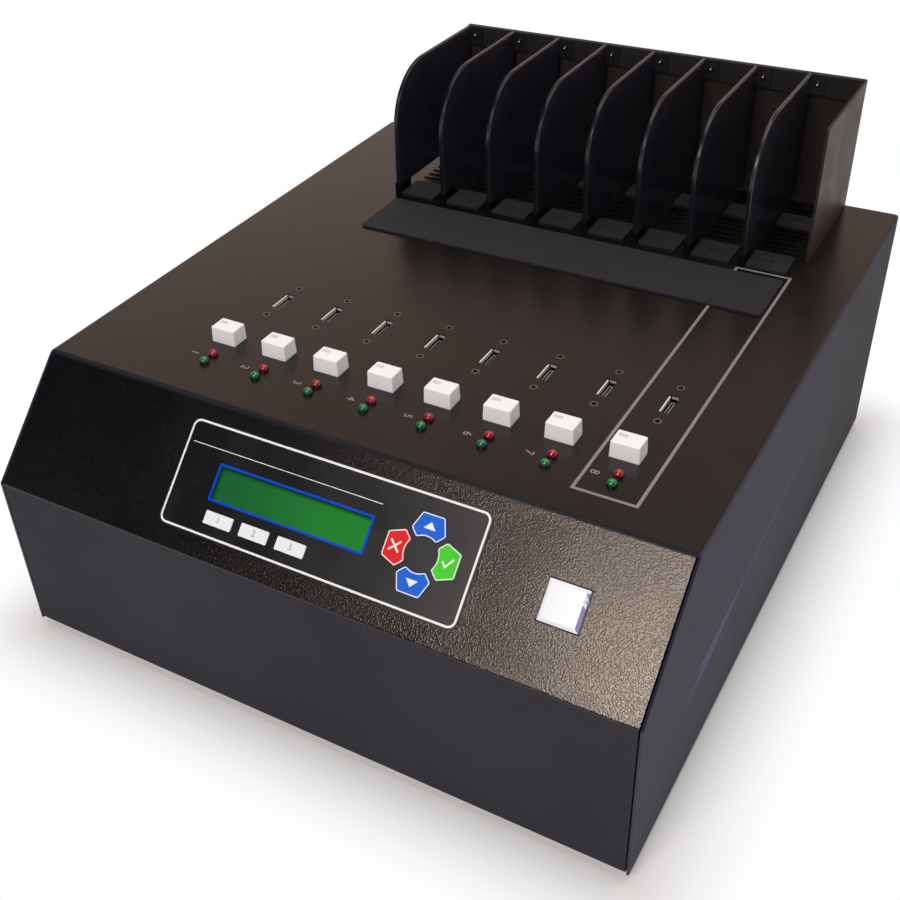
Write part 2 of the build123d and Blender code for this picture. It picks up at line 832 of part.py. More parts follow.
def mains_inlet():
    """Inlet module: a flange, a three-pin socket and a well for the rocker switch."""
    flange = RectangleRounded(*inlet_flange, inlet_flange_corner)
    body = extrude(flange, amount=inlet_flange_thickness)
    body += Box(*inlet_body, inlet_depth, align=DOWN)
    socket = Rectangle(*socket_size)
    socket = chamfer(socket.vertices().group_by(Axis.Y)[-1], socket_chamfer)
    deep = socket_depth + inlet_flange_thickness
    cavity = extrude(Pos(0, -socket_drop, inlet_flange_thickness) * socket, amount=-deep)
    body -= cavity
    well = Box(*well_size, well_depth + inlet_flange_thickness, align=DOWN)
    body -= Pos(0, well_rise, inlet_flange_thickness) * well
    bore = rocker_pin + rocker_pin_clearance
    pin_reach = rocker_size[1] + 2 * rocker_pin_length + 2 * stem_clearance
    pin_hole = Rot(90, 0, 0) * Cylinder(bore, pin_reach)
    body -= Pos(0, well_rise, -rocker_pivot) * pin_hole
    return inlet_place() * body


def inlet_pins():
    """Three flat pins on the floor of the socket."""
    spots = [(-pin_spacing, -pin_offset), (pin_spacing, -pin_offset), (0, pin_offset)]
    pins = []
    for x, up in spots:
        pin = Box(*pin_size, pin_length, align=UP)
        pin = chamfer(pin.edges().group_by(Axis.Z)[-1], pin_size[0] / 4)
        pins.append(inlet_place() * Pos(x, up - socket_drop, -socket_depth) * pin)
    return pins


def rocker():
    """Rocker on two pivot pins, tipped to one side at rest."""
    half = rocker_size[0] / 2
    middle = rocker_pivot + rocker_proud
    outline = Polyline(
        (-half, middle),
        (0, middle - rocker_dip),
        (half, middle),
        (half, -rocker_under / 2),
        (0, -rocker_under),
        (-half, -rocker_under / 2),
        (-half, middle),
    )
    section = Plane.XZ * make_face(outline)
    body = extrude(section, amount=rocker_size[1] / 2, both=True)
    body += Rot(90, 0, 0) * Cylinder(rocker_pin, rocker_size[1] + 2 * rocker_pin_length)
    tipped = Rot(0, rocker_throw / 2, 0) * body
    return inlet_place() * Pos(0, well_rise, -rocker_pivot) * tipped


def power_supply():
    """Closed supply on the tray floor, with a terminal ledge at one end."""
    low = (-width / 2 + supply_left, back_y - supply_back - supply_size[1], inner_floor_z)
    high = [a + b for a, b in zip(low, supply_size)]
    body = block(low, high)
    body = fillet(body.edges().filter_by(Axis.Y).group_by(Axis.Z)[-1], supply_edge)
    ledge_low = (high[0] - supply_terminal, low[1] + supply_edge, low[2] + supply_size[2] / 2)
    return body - block(ledge_low, (high[0], high[1] - supply_edge, high[2]))


def controller_board():
    """Main board with a row of cable connectors and a finned cooler."""
    body = block((*controller_low, controller_z), (*controller_high, controller_z + board))
    for x in connector_xs:
        socket = Box(*connector_size, align=UP)
        body += Pos(x, connector_y, controller_z + board) * socket
    cooler = Box(*cooler_size, cooler_base, align=UP)
    step = (cooler_size[0] - cooler_fin) / (cooler_fins - 1)
    for fin in range(cooler_fins):
        x = fin * step - (cooler_size[0] - cooler_fin) / 2
        cooler += Pos(x, 0, 0) * Box(cooler_fin, cooler_size[1], cooler_height, align=UP)
    cooler_y = controller_low[1] + standoff_inset + cooler_size[1] / 2
    return body + Pos(cooler_x, cooler_y, controller_z + board) * cooler


def board_standoffs():
    """Round posts that hold the controller board off the tray floor."""
    post = Cylinder(standoff_radius, standoff_height, align=UP)
    posts = []
    for x in (controller_low[0] + standoff_inset, controller_high[0] - standoff_inset):
        for y in (controller_low[1] + standoff_inset, controller_high[1] - standoff_inset):
            posts.append(Pos(x, y, inner_floor_z) * post)
    return posts


def data_cables():
    """Flat cables from the port board, each in an upright plane, down to its connector."""
    high = port_board_z - board
    low = controller_z + board + connector_size[2]
    cables = []
    for x, connector_x in zip(column_xs, connector_xs):
        shift = connector_x - x
        run = math.hypot(shift, cable_run)
        path = FilletPolyline(
            (0, high),
            (0, high - cable_drop),
            (run, low + cable_drop),
            (run, low),
            radius=cable_radius,
        )
        across = (cable_run, -shift, 0)
        upright = Plane(origin=(x, port_row_y, 0), x_dir=(shift, cable_run, 0), z_dir=across)
        section = upright * trace(path, line_width=cable_thickness)
        cables.append(extrude(section, amount=cable_width / 2, both=True))
    return cables


def save(name, *shapes):
    """Write one node, as separate solids."""
    solids = [solid for shape in shapes for solid in shape.solids()]
    export_step(Compound(solids), f"parts/{name}.step")


os.makedirs("parts", exist_ok=True)
save("base_tray", base_tray())
save("top_cover", top_cover())
save("rubber_feet", *rubber_feet())
save("cover_screws", *cover_screws())
save("rack_bracket", rack_bracket())
save("rack_rail", rack_rail())
for number, divider_x in enumerate(divider_xs, 1):
    save(f"divider_{number}", divider(divider_x))
save("divider_shoes", *divider_shoes())
save("rail_screws", *[place * rail_screw() for place in rail_screw_places()])
save("drive_pads", *drive_pads())
save("rest_mat", rest_mat())
save("port_housings", *port_housings())
save("port_shells", *port_shells())
save("port_screws", *port_screws())
save("lamps_red", *[lamp(x, red_y) for x in column_xs])
save("lamps_green", *[lamp(x, green_y) for x in column_xs])
for number, column_x in enumerate(column_xs, 1):
    save(f"port_button_{number}", port_button(column_x))
save("button_switches", *button_switches())
save("port_board", port_board())
save("control_overlay", control_overlay())
save("display_window", display_window())
save("display_module", display_module())
for key_name, key_face, key_place in key_places():
    save(key_name, key(key_face, key_place))
save("key_switches", *key_switches())
save("keypad_board", keypad_board())
save("power_button", power_button())
save("power_switch", power_switch())
save("fan_frames", *[place * fan_frame() for place in fan_places()])
for number, fan_place in enumerate(fan_places(), 1):
    save(f"fan_rotor_{number}", fan_place * fan_rotor())
save("mains_inlet", mains_inlet())
save("inlet_pins", *inlet_pins())
save("rocker", rocker())
save("power_supply", power_supply())
save("controller_board", controller_board())
save("board_standoffs", *board_standoffs())
save("data_cables", *data_cables())
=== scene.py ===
import math

import bmesh
import bpy
from mathutils import Matrix, Vector


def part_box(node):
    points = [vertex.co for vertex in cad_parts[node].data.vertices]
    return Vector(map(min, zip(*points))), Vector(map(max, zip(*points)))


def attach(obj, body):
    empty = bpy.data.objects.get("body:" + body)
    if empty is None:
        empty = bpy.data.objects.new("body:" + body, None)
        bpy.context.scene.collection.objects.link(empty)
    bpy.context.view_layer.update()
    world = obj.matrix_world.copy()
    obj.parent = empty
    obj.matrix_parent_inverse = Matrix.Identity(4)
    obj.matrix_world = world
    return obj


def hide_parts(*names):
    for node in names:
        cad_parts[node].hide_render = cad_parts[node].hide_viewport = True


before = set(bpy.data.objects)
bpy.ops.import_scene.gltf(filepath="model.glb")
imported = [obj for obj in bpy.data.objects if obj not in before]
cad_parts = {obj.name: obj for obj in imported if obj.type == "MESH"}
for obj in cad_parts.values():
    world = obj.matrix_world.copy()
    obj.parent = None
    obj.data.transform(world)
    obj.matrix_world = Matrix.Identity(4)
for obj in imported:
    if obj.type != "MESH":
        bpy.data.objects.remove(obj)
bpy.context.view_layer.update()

# A desk-top drive duplicator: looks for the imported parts, and the printed and
# small pieces on them. Lengths are metres, and mm turns millimetres into metres.
mm = 0.001
scene = bpy.context.scene
scene.view_settings.view_transform = "Standard"

# Camera, as in the photograph
CAMERA_PLACE = Vector((271.6, -507.9, 476.2)) * mm
CAMERA_TURN = (53.2585, 2.0287, 29.6312)  # degrees about X, Y and Z
CAMERA_LENS = 48.763
CAMERA_SENSOR = 36.0
CAMERA_SHIFT = (0.0212, 0.0064)
CAMERA_NEAR = 10 * mm

# Area lamps: place, the point that they face, size, power and colour
LAMPS = {
    "key": ((0.02, -1.29, 1.24), (0.1, -0.17, 0.12), (0.62, 0.44), 13.5, (1.0, 0.93, 0.87)),
    "overhead": ((0.1, 0.2, 1.8), (0, 0, 0.1), (1.4, 1.4), 14.0, (0.98, 0.98, 1.0)),
    "right": ((1.6, 0.1, 0.9), (0, 0, 0.1), (1.0, 1.0), 2.0, (0.86, 0.9, 1.0)),
}

# Light from the room, in linear colours; a direction has parts from -1 to 1 along x, y and z
WHITE = (1, 1, 1, 1)
ROOM_DARK = (0.02, 0.02, 0.028, 1)
ROOM_WARM = (0.97, 0.71, 0.59, 1)
GLOW_BACK = (0.1, 0.55)  # along y, where the warm glow begins and where it is full
GLOW_LEFT = (-0.05, -0.62, 0.6, 0.88)  # two places along x, and the share of glow at each
GLOW_HEIGHT = (0.75, 0.4, 0.55, 1.0)  # two places along z, and the share of glow at each
HORIZON = (0.26, 0.06)  # along z, where the room begins to turn white and where it is white

# Floor: its linear tones, its size, and the strip round the object in which it turns white
FLOOR_TONES = ((0.87, 0.87, 0.87, 1), (0.89, 0.89, 0.89, 1))
FLOOR_CLOUD = 300 * mm
FLOOR_RADIUS = 4.0
FLOOR_SIDES = 64
FLOOR_FADE = (-20 * mm, 55 * mm)

# Shape of the slope, and how far prints stand out of what they are on and reach into it
SLOPE_RUN = 53.6 * mm
SLOPE_RISE = 51.5 * mm
PRINT = 0.04 * mm
SINK = 0.02 * mm

# What several looks share: patterns, relief, the painted glow of white caps, and when a face is turned to
# a side
FINE_GRAIN = 0.5 * mm
CLOUD = 20 * mm
NOISE_SPREAD = (0.3, 0.7)  # most of a noise lies between these values
TURNED = (0.4, 0.8)
PAINT_RELIEF = 0.02 * mm
MOULDING_RELIEF = 0.005 * mm
CAP_PAINTED_GLOW = 0.08

# Front and slope: pebbled paint, smooth in a strip along the slope's upper edge, where a bluish
# reflection is painted; the front's bluish tone is painted light
FOLD_BAND = 3.6 * mm
PEBBLE = 0.85 * mm
PEBBLE_SPREAD = (0.4, 0.7)
PEBBLE_FINE = 0.42 * mm
PEBBLE_FINE_SHARE = 0.35
PEBBLE_RELIEF = 0.045 * mm
FRONT_CLOUD = 60 * mm
FRONT_ROUGH = (0.8, 0.86)
SLOPE_ROUGH_CHANGE = -0.57  # added to the roughness on the slope
SLOPE_TURN = (0.75, 0.9)
WARM_SHEEN = (1.0, 0.88, 0.8, 1.0)

# Cover: glossy top, dull sides with painted bluish light that darkens towards the rear, and cut edges
# along the slope painted dark as the shaded gap line
COVER_CLOUD = 45 * mm
COVER_BRUSH = 3.0 * mm
COVER_BRUSH_STRETCH = (1.0, 0.12, 0.5)
COVER_BRUSH_SHARE = 0.4
COVER_ROUGH = (0.23, 0.29)
COVER_ROUGH_CHANGE = 0.58  # added to the roughness at the sides and on the cut edges
COVER_DARKENS = (-80 * mm, 180 * mm)
CUT_EDGE_TURN = (0.88, 0.96)
CUT_EDGE_SIDE = (3 * mm, 2 * mm)  # in from the outside of the cover

# Scratch along the right side: it rises to the rear, and widens and frays towards the front
SCRATCH_RISE = 0.155
SCRATCH_HEIGHT = 80 * mm  # halfway along the side
SCRATCH_HALF = (0.8 * mm, 6.0 * mm)  # half its width where it is thin and where it is wide
SCRATCH_WIDENS = (-55 * mm, -108 * mm)
SCRATCH_TAIL = (60 * mm, -20 * mm)
SCRATCH_TIP = (-124 * mm, -114 * mm)
SCRATCH_EDGE = (1.1, 0.7)  # it fades between these shares of half its width
SCRATCH_SWAY = 5.0 * mm
SCRATCH_FRAY = 1.6 * mm
SCRATCH_FRAY_STRETCH = (1, 0.1, 1)
SCRATCH_STRAND = 1.7 * mm
SCRATCH_STRAND_STRETCH = (1, 0.02, 1)
SCRATCH_STRAND_REACH = 90 * mm
SCRATCH_SHARE = 0.8

# Rack: matt paint, and dividers with black tabs at the rail
RACK_ROUGH = (0.46, 0.56)
DIVIDER_CLOUD = 25 * mm
DIVIDER_ROUGH = (0.22, 0.28)
DIVIDER_RELIEF = 0.003 * mm
TAB_BAND = (165 * mm, 175 * mm)
TAB_TURN = (0.5, 0.8)

# Metal: how much darker and how uneven its marks are
METAL_DARK = 0.72
METAL_ROUGH = (0.8, 1.25)
METAL_RELIEF = 0.004 * mm

# Display: its clouds and cells, and the strips that are shaded at its left and along its top
DISPLAY_VALUES = {"Roughness": 0.14, "Specular_IOR_Level": 0.3, "Emission_Strength": 0.2}
DISPLAY_CLOUD = 18 * mm
DISPLAY_CLOUD_SHARE = 0.5
DISPLAY_CELL = 0.9 * mm
DISPLAY_CELL_SHARE = 0.06
DISPLAY_SHADE = (3.5 * mm, 2.6 * mm)

# Lamps of the ports, and circuit boards
LENS_VALUES = {"Roughness": 0.1, "Specular_IOR_Level": 0.85}
LENS_TURN = (1.0, 0.2)  # how far up a lens faces where it is lit and where it is deep in colour
LENS_SWIRL = 1.5 * mm
LENS_SWIRL_SHARE = 0.2
BOARD_TRACK = 6 * mm
BOARD_LINE = 0.06
BOARD_GRAIN = 1.0 * mm
BOARD_RELIEF = 0.01 * mm

# Control panel and its print, x and u from the middle of the panel
PANEL_WIDTH = 54.4 * mm
PANEL_CORNER = 5.0 * mm
OVERLAY = 0.5 * mm
BORDER_INSET = 0.95 * mm
BORDER_LINE = 1.05 * mm
RULE_SPAN = (-77.2 * mm, 29.4 * mm)
RULE_U = 15.1 * mm
RULE_LINE = 0.34 * mm
WINDOW_WIDTH = 16.2 * mm
WINDOW_FRAME = 1.1 * mm
WINDOW_CORNERS = (0.6 * mm, 0.3 * mm)  # outside and inside of the frame's line

# Keys: how far they stand proud, their print lines and signs
RING_KEYS = ("key_up", "key_escape", "key_down", "key_enter")
FUNCTION_KEYS = 3
KEY_PROUD = 0.3 * mm
KEY_LINE = 0.5 * mm
KEY_SIGN_RADIUS = 13.2 * mm
ARROW_WIDTH = 6.0 * mm
ARROW_HEIGHT = 3.4 * mm
SIGN_LINE = 0.9 * mm
SIGN_REACH = 2.2 * mm
TICK_HEEL = (-0.66 * mm, -1.76 * mm)
NUMBER_SIZE = 4.6 * mm

# Power button: its face's bevel, inwards and down, its corners, its skirt and the gap added round it
POWER_BEVEL = (1.5 * mm, 1.0 * mm)
POWER_CORNER = 0.4 * mm
POWER_GAP = 0.25 * mm
POWER_SKIRT = 9.2 * mm
# The power button gets the same painted glow as the white caps
POWER_VALUES = {"Specular_IOR_Level": 0.3, "Roughness": 0.2, "Emission_Strength": CAP_PAINTED_GLOW}
POWER_CLOUD = 8 * mm
POWER_RELIEF = 0.004 * mm
# Where the painted violet reflection lies on the right bevel
RIM_TURN = (0.3, 0.45)
RIM_PATCH = 3 * mm
RIM_PATCH_SPREAD = (0.64, 0.57)

# Flat top: port columns, their print and their small parts
COLUMN_COUNT = 8
BUTTON_SHIFT = 2.4 * mm  # a port column lies that far right of its button
FRAME_LEFT = 15.4 * mm  # outer edges from the eighth column
FRAME_RIGHT = 15.9 * mm
FRAME_FRONT = 9.7 * mm  # from the green lamp
FRAME_REAR = 93.8 * mm  # along y
FRAME_LINE = 1.55 * mm
FRAME_CORNERS = (0.3 * mm, 0.2 * mm)  # outside and inside of the line
DIGIT_SIZE = 6.2 * mm
DIGIT_WEIGHT = 0.05 * mm  # strokes grow by that much
DIGIT_PLACE = (-10.4 * mm, 5.4 * mm)  # from the green lamp
CAP_MARK_PLACE = (-3.2 * mm, 1.4 * mm)  # from the middle of the cap
CAP_MARK_SIZE = (4.6 * mm, 2.4 * mm)
CAP_MARK_CORNER = 0.4 * mm
PORT_MOUTH = (6.2 * mm, 15.6 * mm)
SPRING_SIZE = (0.75 * mm, 13.6 * mm)
SPRING_INSET = 0.53 * mm
SPRING_DROP = 0.25 * mm
SPRING_DEPTH = 2.0 * mm
END_SPRING_SIZE = (3.4 * mm, 0.5 * mm)
END_SPRING_DROP = 0.5 * mm
END_SPRING_DEPTH = 1.0 * mm
TONGUE_SIZE = (1.9 * mm, 11.6 * mm)
TONGUE_LINE = 0.3 * mm
TONGUE_DROP = 2.7 * mm
PORT_SCREW_PITCH = 30.6 * mm
SCREW_RIM = (2.05 * mm, 1.35 * mm)  # outer and inner radius
SCREW_SOCKET = 1.2 * mm
PAD_DOT = 0.8 * mm
PAD_DOT_X = (-2.3 * mm, 0.7 * mm)  # from the middle of the column
PAD_ROWS = (105.5 * mm, 160.5 * mm)  # middles of the front and rear pads along y

# Rail of the rack: a painted glint on each of its screws
RAIL_SCREW_SIDE = 6.5 * mm  # from the divider's left face
RAIL_SCREW_DROP = 5.0 * mm  # from the top of the rail
RAIL_SCREW_GLINT = 0.6 * mm

# Rear: crosses of painted shade in the screws, signs on the rocker
COVER_SCREW_CROSS = (0.7 * mm, 3.4 * mm)
COVER_SCREW_BARS = (0.02 * mm, 0.03 * mm)  # how far the two bars of a cross stand out
COVER_SCREW_X = 90.0 * mm
COVER_SCREW_EDGE = 7.2 * mm  # in from the outside of the cover
COVER_SCREW_UP = (40.0 * mm, 110.0 * mm)
ROCKER_HALF = 9.3 * mm
ROCKER_DIP = 1.4 * mm
ROCKER_FACE = 1.75 * mm  # ends of the rocker's face above its pivot
ROCKER_PIVOT = 2.0 * mm  # behind the rear wall
ROCKER_LEAN = 9.0  # degrees at rest
ROCKER_SIGN_REACH = (1.6 * mm, 1.8 * mm)  # of the bar and of the ring, from their middles
ROCKER_SIGN_LINE = 0.6 * mm

# Meshes: steps of round outlines, and what counts as one point
CORNER_STEPS = 6
SMALL_CORNER_STEPS = 3
TINY_CORNER_STEPS = 2
CIRCLE_STEPS = 24
DOT_STEPS = 12
SOCKET_SIDES = 6
STRIP_CORNER = 0.4  # share of a thin strip's width
SHARPEST_LEAN = 0.3  # an inset reaches no further than this allows at a sharp corner
SAME_POINT = 1e-7
SAME_POINT_DIGITS = 7

# Directions and places that follow from the frame
RIGHT = Vector((1, 0, 0))
BACK = Vector((0, 1, 0))
UP = Vector((0, 0, 1))
tray_low, tray_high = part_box("base_tray")
cover_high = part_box("top_cover")[1]
top_z = cover_high.z
slope_length = math.hypot(SLOPE_RUN, SLOPE_RISE)
up_slope = Vector((0, SLOPE_RUN, SLOPE_RISE)) / slope_length
slope_normal = Vector((0, -SLOPE_RISE, SLOPE_RUN)) / slope_length
slope_top = Vector((0, tray_low.y + SLOPE_RUN, top_z))
columns = range(1, COLUMN_COUNT + 1)


def middle(part_name):
    """The middle of a node's box at rest."""
    low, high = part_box(part_name)
    return (low + high) / 2


def width_of(part_name):
    """The width of a node's box at rest."""
    low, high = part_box(part_name)
    return high.x - low.x


def column_x(number):
    """The middle of a port column."""
    return middle(f"port_button_{number}").x + BUTTON_SHIFT


def place_of(point, right, up, out):
    """A frame at a point, from its three directions."""
    place = Matrix((right, up, out)).transposed().to_4x4()
    place.translation = point
    return place


panel_middle = middle("control_overlay") + slope_normal * OVERLAY / 2
panel = place_of(panel_middle, RIGHT, up_slope, slope_normal)


def panel_place(x, u, level=0.0):
    """A frame on the panel, or at a level above it."""
    return panel @ Matrix.Translation((x, u, level))


def top_place(x, y, drop=0.0):
    """A frame on the flat top, or that far below it."""
    return Matrix.Translation((x, y, top_z - drop))


def rear_place(x, z, y):
    """A frame on the rear, looking at it from behind."""
    return place_of(Vector((x, y, z)), -RIGHT, UP, BACK)


def on_panel(part_name):
    """Where a node's middle is on the panel."""
    return panel.inverted() @ middle(part_name)


def spots_on_panel(part_name):
    """A node's corners as the panel has them."""
    to_panel = panel.inverted()
    return [to_panel @ corner.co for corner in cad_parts[part_name].data.vertices]


# Shader nodes

def put(tree, socket, value):
    """Give a socket a value, or a link where the value is a socket too."""
    if isinstance(value, bpy.types.NodeSocket):
        tree.links.new(value, socket)
    else:
        socket.default_value = value


def node(tree, kind, inputs=None, **settings):
    """A shader node with its settings and inputs."""
    made = tree.nodes.new(kind)
    for name, value in settings.items():
        setattr(made, name, value)
    for name, value in (inputs or {}).items():
        put(tree, made.inputs[name], value)
    return made


def feed(tree, shader, **sockets):
    """Give a shader's sockets their values or links."""
    for name, value in sockets.items():
        put(tree, shader.inputs[name.replace("_", " ")], value)


def shade(name, **values):
    """A new material: the material, its tree, its shader and its object coordinates."""
    material = bpy.data.materials.new(name)
    material.use_nodes = True
    tree = material.node_tree
    shader = tree.nodes["Principled BSDF"]
    feed(tree, shader, **values)
    place = node(tree, "ShaderNodeTexCoord").outputs["Object"]
    return material, tree, shader, place


def noise(tree, place, size, detail=2):
    """Noise with features of about that size."""
    inputs = {"Vector": place, "Scale": 1 / size, "Detail": detail}
    return node(tree, "ShaderNodeTexNoise", inputs).outputs["Fac"]


def remap(tree, value, low, high, to_low=0.0, to_high=1.0):
    """A value carried smoothly from one range to another."""
    inputs = {"Value": value, "From Min": low, "From Max": high, "To Min": to_low, "To Max": to_high}
    made = node(tree, "ShaderNodeMapRange", inputs, interpolation_type="SMOOTHSTEP")
    return made.outputs["Result"]


def spread(tree, value, to_low=0.0, to_high=1.0):
    """A noise with most of its values carried to a range."""
    return remap(tree, value, *NOISE_SPREAD, to_low, to_high)


def maths(tree, operation, *values):
    """One sum, product or other operation on values."""
    return node(tree, "ShaderNodeMath", dict(enumerate(values)), operation=operation).outputs["Value"]


def product(tree, first, *others):
    """Values multiplied with each other."""
    for other in others:
        first = maths(tree, "MULTIPLY", first, other)
    return first


def vector_maths(tree, operation, *vectors):
    """The outputs of one operation on vectors."""
    return node(tree, "ShaderNodeVectorMath", dict(enumerate(vectors)), operation=operation).outputs


def along(tree, place, direction):
    """How far a point lies along a direction."""
    return vector_maths(tree, "DOT_PRODUCT", place, tuple(direction))["Value"]


def facing(tree, direction):
    """How far a face is turned to a direction, from -1 to 1."""
    return along(tree, node(tree, "ShaderNodeNewGeometry").outputs["Normal"], direction)


def unsigned(tree, value):
    """A value without its sign."""
    return maths(tree, "ABSOLUTE", value)


def stretched(tree, place, factors):
    """Coordinates scaled along the axes."""
    return vector_maths(tree, "MULTIPLY", place, factors)["Vector"]


def mix(tree, share, first, second):
    """A colour between two colours."""
    made = node(tree, "ShaderNodeMix", data_type="RGBA")
    sockets = {socket.identifier: socket for socket in (*made.inputs, *made.outputs)}
    put(tree, sockets["Factor_Float"], share)
    put(tree, sockets["A_Color"], first)
    put(tree, sockets["B_Color"], second)
    return sockets["Result_Color"]


def colour(r, g, b):
    """A linear colour from its 0 to 255 screen values."""
    channels = []
    for value in (r, g, b):
        share = value / 255
        channels.append(share / 12.92 if share <= 0.04045 else ((share + 0.055) / 1.055) ** 2.4)
    return (*channels, 1.0)


def bump(tree, shader, height, distance):
    """Relief on a shader, in metres."""
    relief = node(tree, "ShaderNodeBump", {"Height": height, "Distance": distance, "Strength": 1.0})
    feed(tree, shader, Normal=relief.outputs["Normal"])


# Materials

def finish_coat(name, dark, light, rough, relief, **values):
    """A paint or moulding: two mixed tones, uneven gloss and a fine grain."""
    material, tree, shader, place = shade(name, **values)
    cloud = noise(tree, place, CLOUD, detail=3)
    fine = noise(tree, place, FINE_GRAIN, detail=3)
    share = product(tree, maths(tree, "ADD", cloud, fine), 0.5)
    feed(tree, shader, Base_Color=mix(tree, share, dark, light), Roughness=spread(tree, cloud, *rough))
    bump(tree, shader, fine, relief)
    return material


def moulding(name, dark, light, rough=(0.3, 0.4), shine=0.5, glow=0.0):
    """Smooth moulded plastic or ink; white caps get a faint painted glow that makes them look more
    brightly lit.
    """
    values = {"Specular_IOR_Level": shine, "Emission_Color": light, "Emission_Strength": glow}
    return finish_coat(name, dark, light, rough, MOULDING_RELIEF, **values)


def pebble_paint():
    """Pebbled powder coat of the front and the slope, smooth along the slope's upper edge, with a painted
    bluish reflection there and painted bluish light on the front.
    """
    material, tree, shader, place = shade("front_paint", Specular_IOR_Level=0.7, Specular_Tint=WARM_SHEEN)
    sloped = remap(tree, facing(tree, slope_normal), *SLOPE_TURN)
    fold = -slope_top.dot(up_slope)
    below_fold = remap(tree, along(tree, place, -up_slope), fold, fold + FOLD_BAND)
    pebbles = remap(tree, noise(tree, place, PEBBLE, detail=1), *PEBBLE_SPREAD)
    fine = noise(tree, place, PEBBLE_FINE, detail=1)
    height = maths(tree, "MULTIPLY_ADD", fine, PEBBLE_FINE_SHARE, pebbles)
    tone = mix(tree, pebbles, colour(5, 5, 7), colour(15, 14, 18))
    # Painted light: the front gets a bluish tone that the slope lacks
    tone = mix(tree, sloped, colour(14, 19, 38), tone)
    gloss = spread(tree, noise(tree, place, FRONT_CLOUD), *FRONT_ROUGH)
    # Painted reflection: the smooth strip under the fold is bluish grey
    feed(
        tree,
        shader,
        Base_Color=mix(tree, below_fold, colour(46, 54, 66), tone),
        Roughness=maths(tree, "MULTIPLY_ADD", sloped, SLOPE_ROUGH_CHANGE, gloss),
    )
    bump(tree, shader, product(tree, height, below_fold), PEBBLE_RELIEF)
    return material


def side_scratch(tree, place):
    """A pale scratch along the right side that widens forward and frays at its end."""
    apart = node(tree, "ShaderNodeSeparateXYZ", {0: place})
    x, y, z = (apart.outputs[axis] for axis in "XYZ")
    line = maths(tree, "MULTIPLY_ADD", y, SCRATCH_RISE, SCRATCH_HEIGHT)
    frayed = noise(tree, stretched(tree, place, SCRATCH_FRAY_STRETCH), SCRATCH_FRAY)
    sway = maths(tree, "MULTIPLY_ADD", frayed, SCRATCH_SWAY, -SCRATCH_SWAY / 2)
    wide = remap(tree, y, *SCRATCH_WIDENS)
    away = maths(tree, "MULTIPLY_ADD", sway, wide, maths(tree, "SUBTRACT", z, line))
    thin, thick = SCRATCH_HALF
    half = maths(tree, "MULTIPLY_ADD", wide, thick - thin, thin)
    core = remap(tree, maths(tree, "DIVIDE", unsigned(tree, away), half), *SCRATCH_EDGE)
    strands = noise(tree, stretched(tree, place, SCRATCH_STRAND_STRETCH), SCRATCH_STRAND, detail=1)
    reach = maths(tree, "MULTIPLY_ADD", strands, SCRATCH_STRAND_REACH, -SCRATCH_STRAND_REACH / 2)
    tip = remap(tree, maths(tree, "ADD", y, reach), *SCRATCH_TIP)
    tail = remap(tree, y, *SCRATCH_TAIL)
    right = remap(tree, x, 0.0, cover_high.x)
    return product(tree, core, tip, tail, right)


def cover_paint():
    """Fine powder coat, glossier on top than at the sides, with bluish light painted on the sides and
    shade painted on the cut front edges.
    """
    material, tree, shader, place = shade("cover_paint", Specular_IOR_Level=0.42)
    aside = remap(tree, unsigned(tree, facing(tree, RIGHT)), *TURNED)
    cut_edge = remap(tree, facing(tree, slope_normal), *CUT_EDGE_TURN)
    cloud = noise(tree, place, COVER_CLOUD, detail=3)
    brushed = noise(tree, stretched(tree, place, COVER_BRUSH_STRETCH), COVER_BRUSH)
    brushed = product(tree, brushed, COVER_BRUSH_SHARE)
    tone = spread(tree, maths(tree, "MULTIPLY_ADD", cloud, 1 - COVER_BRUSH_SHARE, brushed))
    top = mix(tree, tone, colour(15, 12, 11), colour(21, 17, 16))
    # Painted light: the sides are lighter and bluer than the top, and darker towards the rear
    side = mix(tree, tone, colour(54, 53, 68), colour(62, 61, 78))
    side = mix(tree, remap(tree, along(tree, place, BACK), *COVER_DARKENS), side, colour(44, 42, 46))
    scratch = product(tree, side_scratch(tree, place), SCRATCH_SHARE)
    side = mix(tree, scratch, side, colour(90, 97, 128))
    # Painted shade: the cut edges are dark, navy at the outside, as the gap line beside the slope
    outer = [cover_high.x - inwards for inwards in CUT_EDGE_SIDE]
    outer = remap(tree, unsigned(tree, along(tree, place, RIGHT)), *outer)
    painted_gap_shade = mix(tree, outer, colour(20, 18, 19), colour(14, 17, 48))
    dull = maths(tree, "MAXIMUM", aside, cut_edge)
    gloss = spread(tree, cloud, *COVER_ROUGH)
    feed(
        tree,
        shader,
        Base_Color=mix(tree, cut_edge, mix(tree, aside, top, side), painted_gap_shade),
        Roughness=maths(tree, "MULTIPLY_ADD", dull, COVER_ROUGH_CHANGE, gloss),
    )
    bump(tree, shader, noise(tree, place, FINE_GRAIN, detail=3), PAINT_RELIEF)
    return material


def rack_paint():
    """Matt paint of the rack, with painted light on the outside of its wing and painted shade on its
    inner faces.
    """
    material, tree, shader, place = shade("rack_paint", Specular_IOR_Level=0.15)
    outside = remap(tree, facing(tree, RIGHT), *TURNED)
    cloud = noise(tree, place, CLOUD, detail=3)
    inner = mix(tree, cloud, colour(41, 38, 37), colour(53, 49, 47))
    # Painted light: the outside of the wing is lighter and warmer than the inner faces
    outer = mix(tree, cloud, colour(58, 42, 34), colour(70, 51, 42))
    gloss = spread(tree, cloud, *RACK_ROUGH)
    feed(tree, shader, Base_Color=mix(tree, outside, inner, outer), Roughness=gloss)
    bump(tree, shader, noise(tree, place, FINE_GRAIN, detail=3), PAINT_RELIEF)
    return material


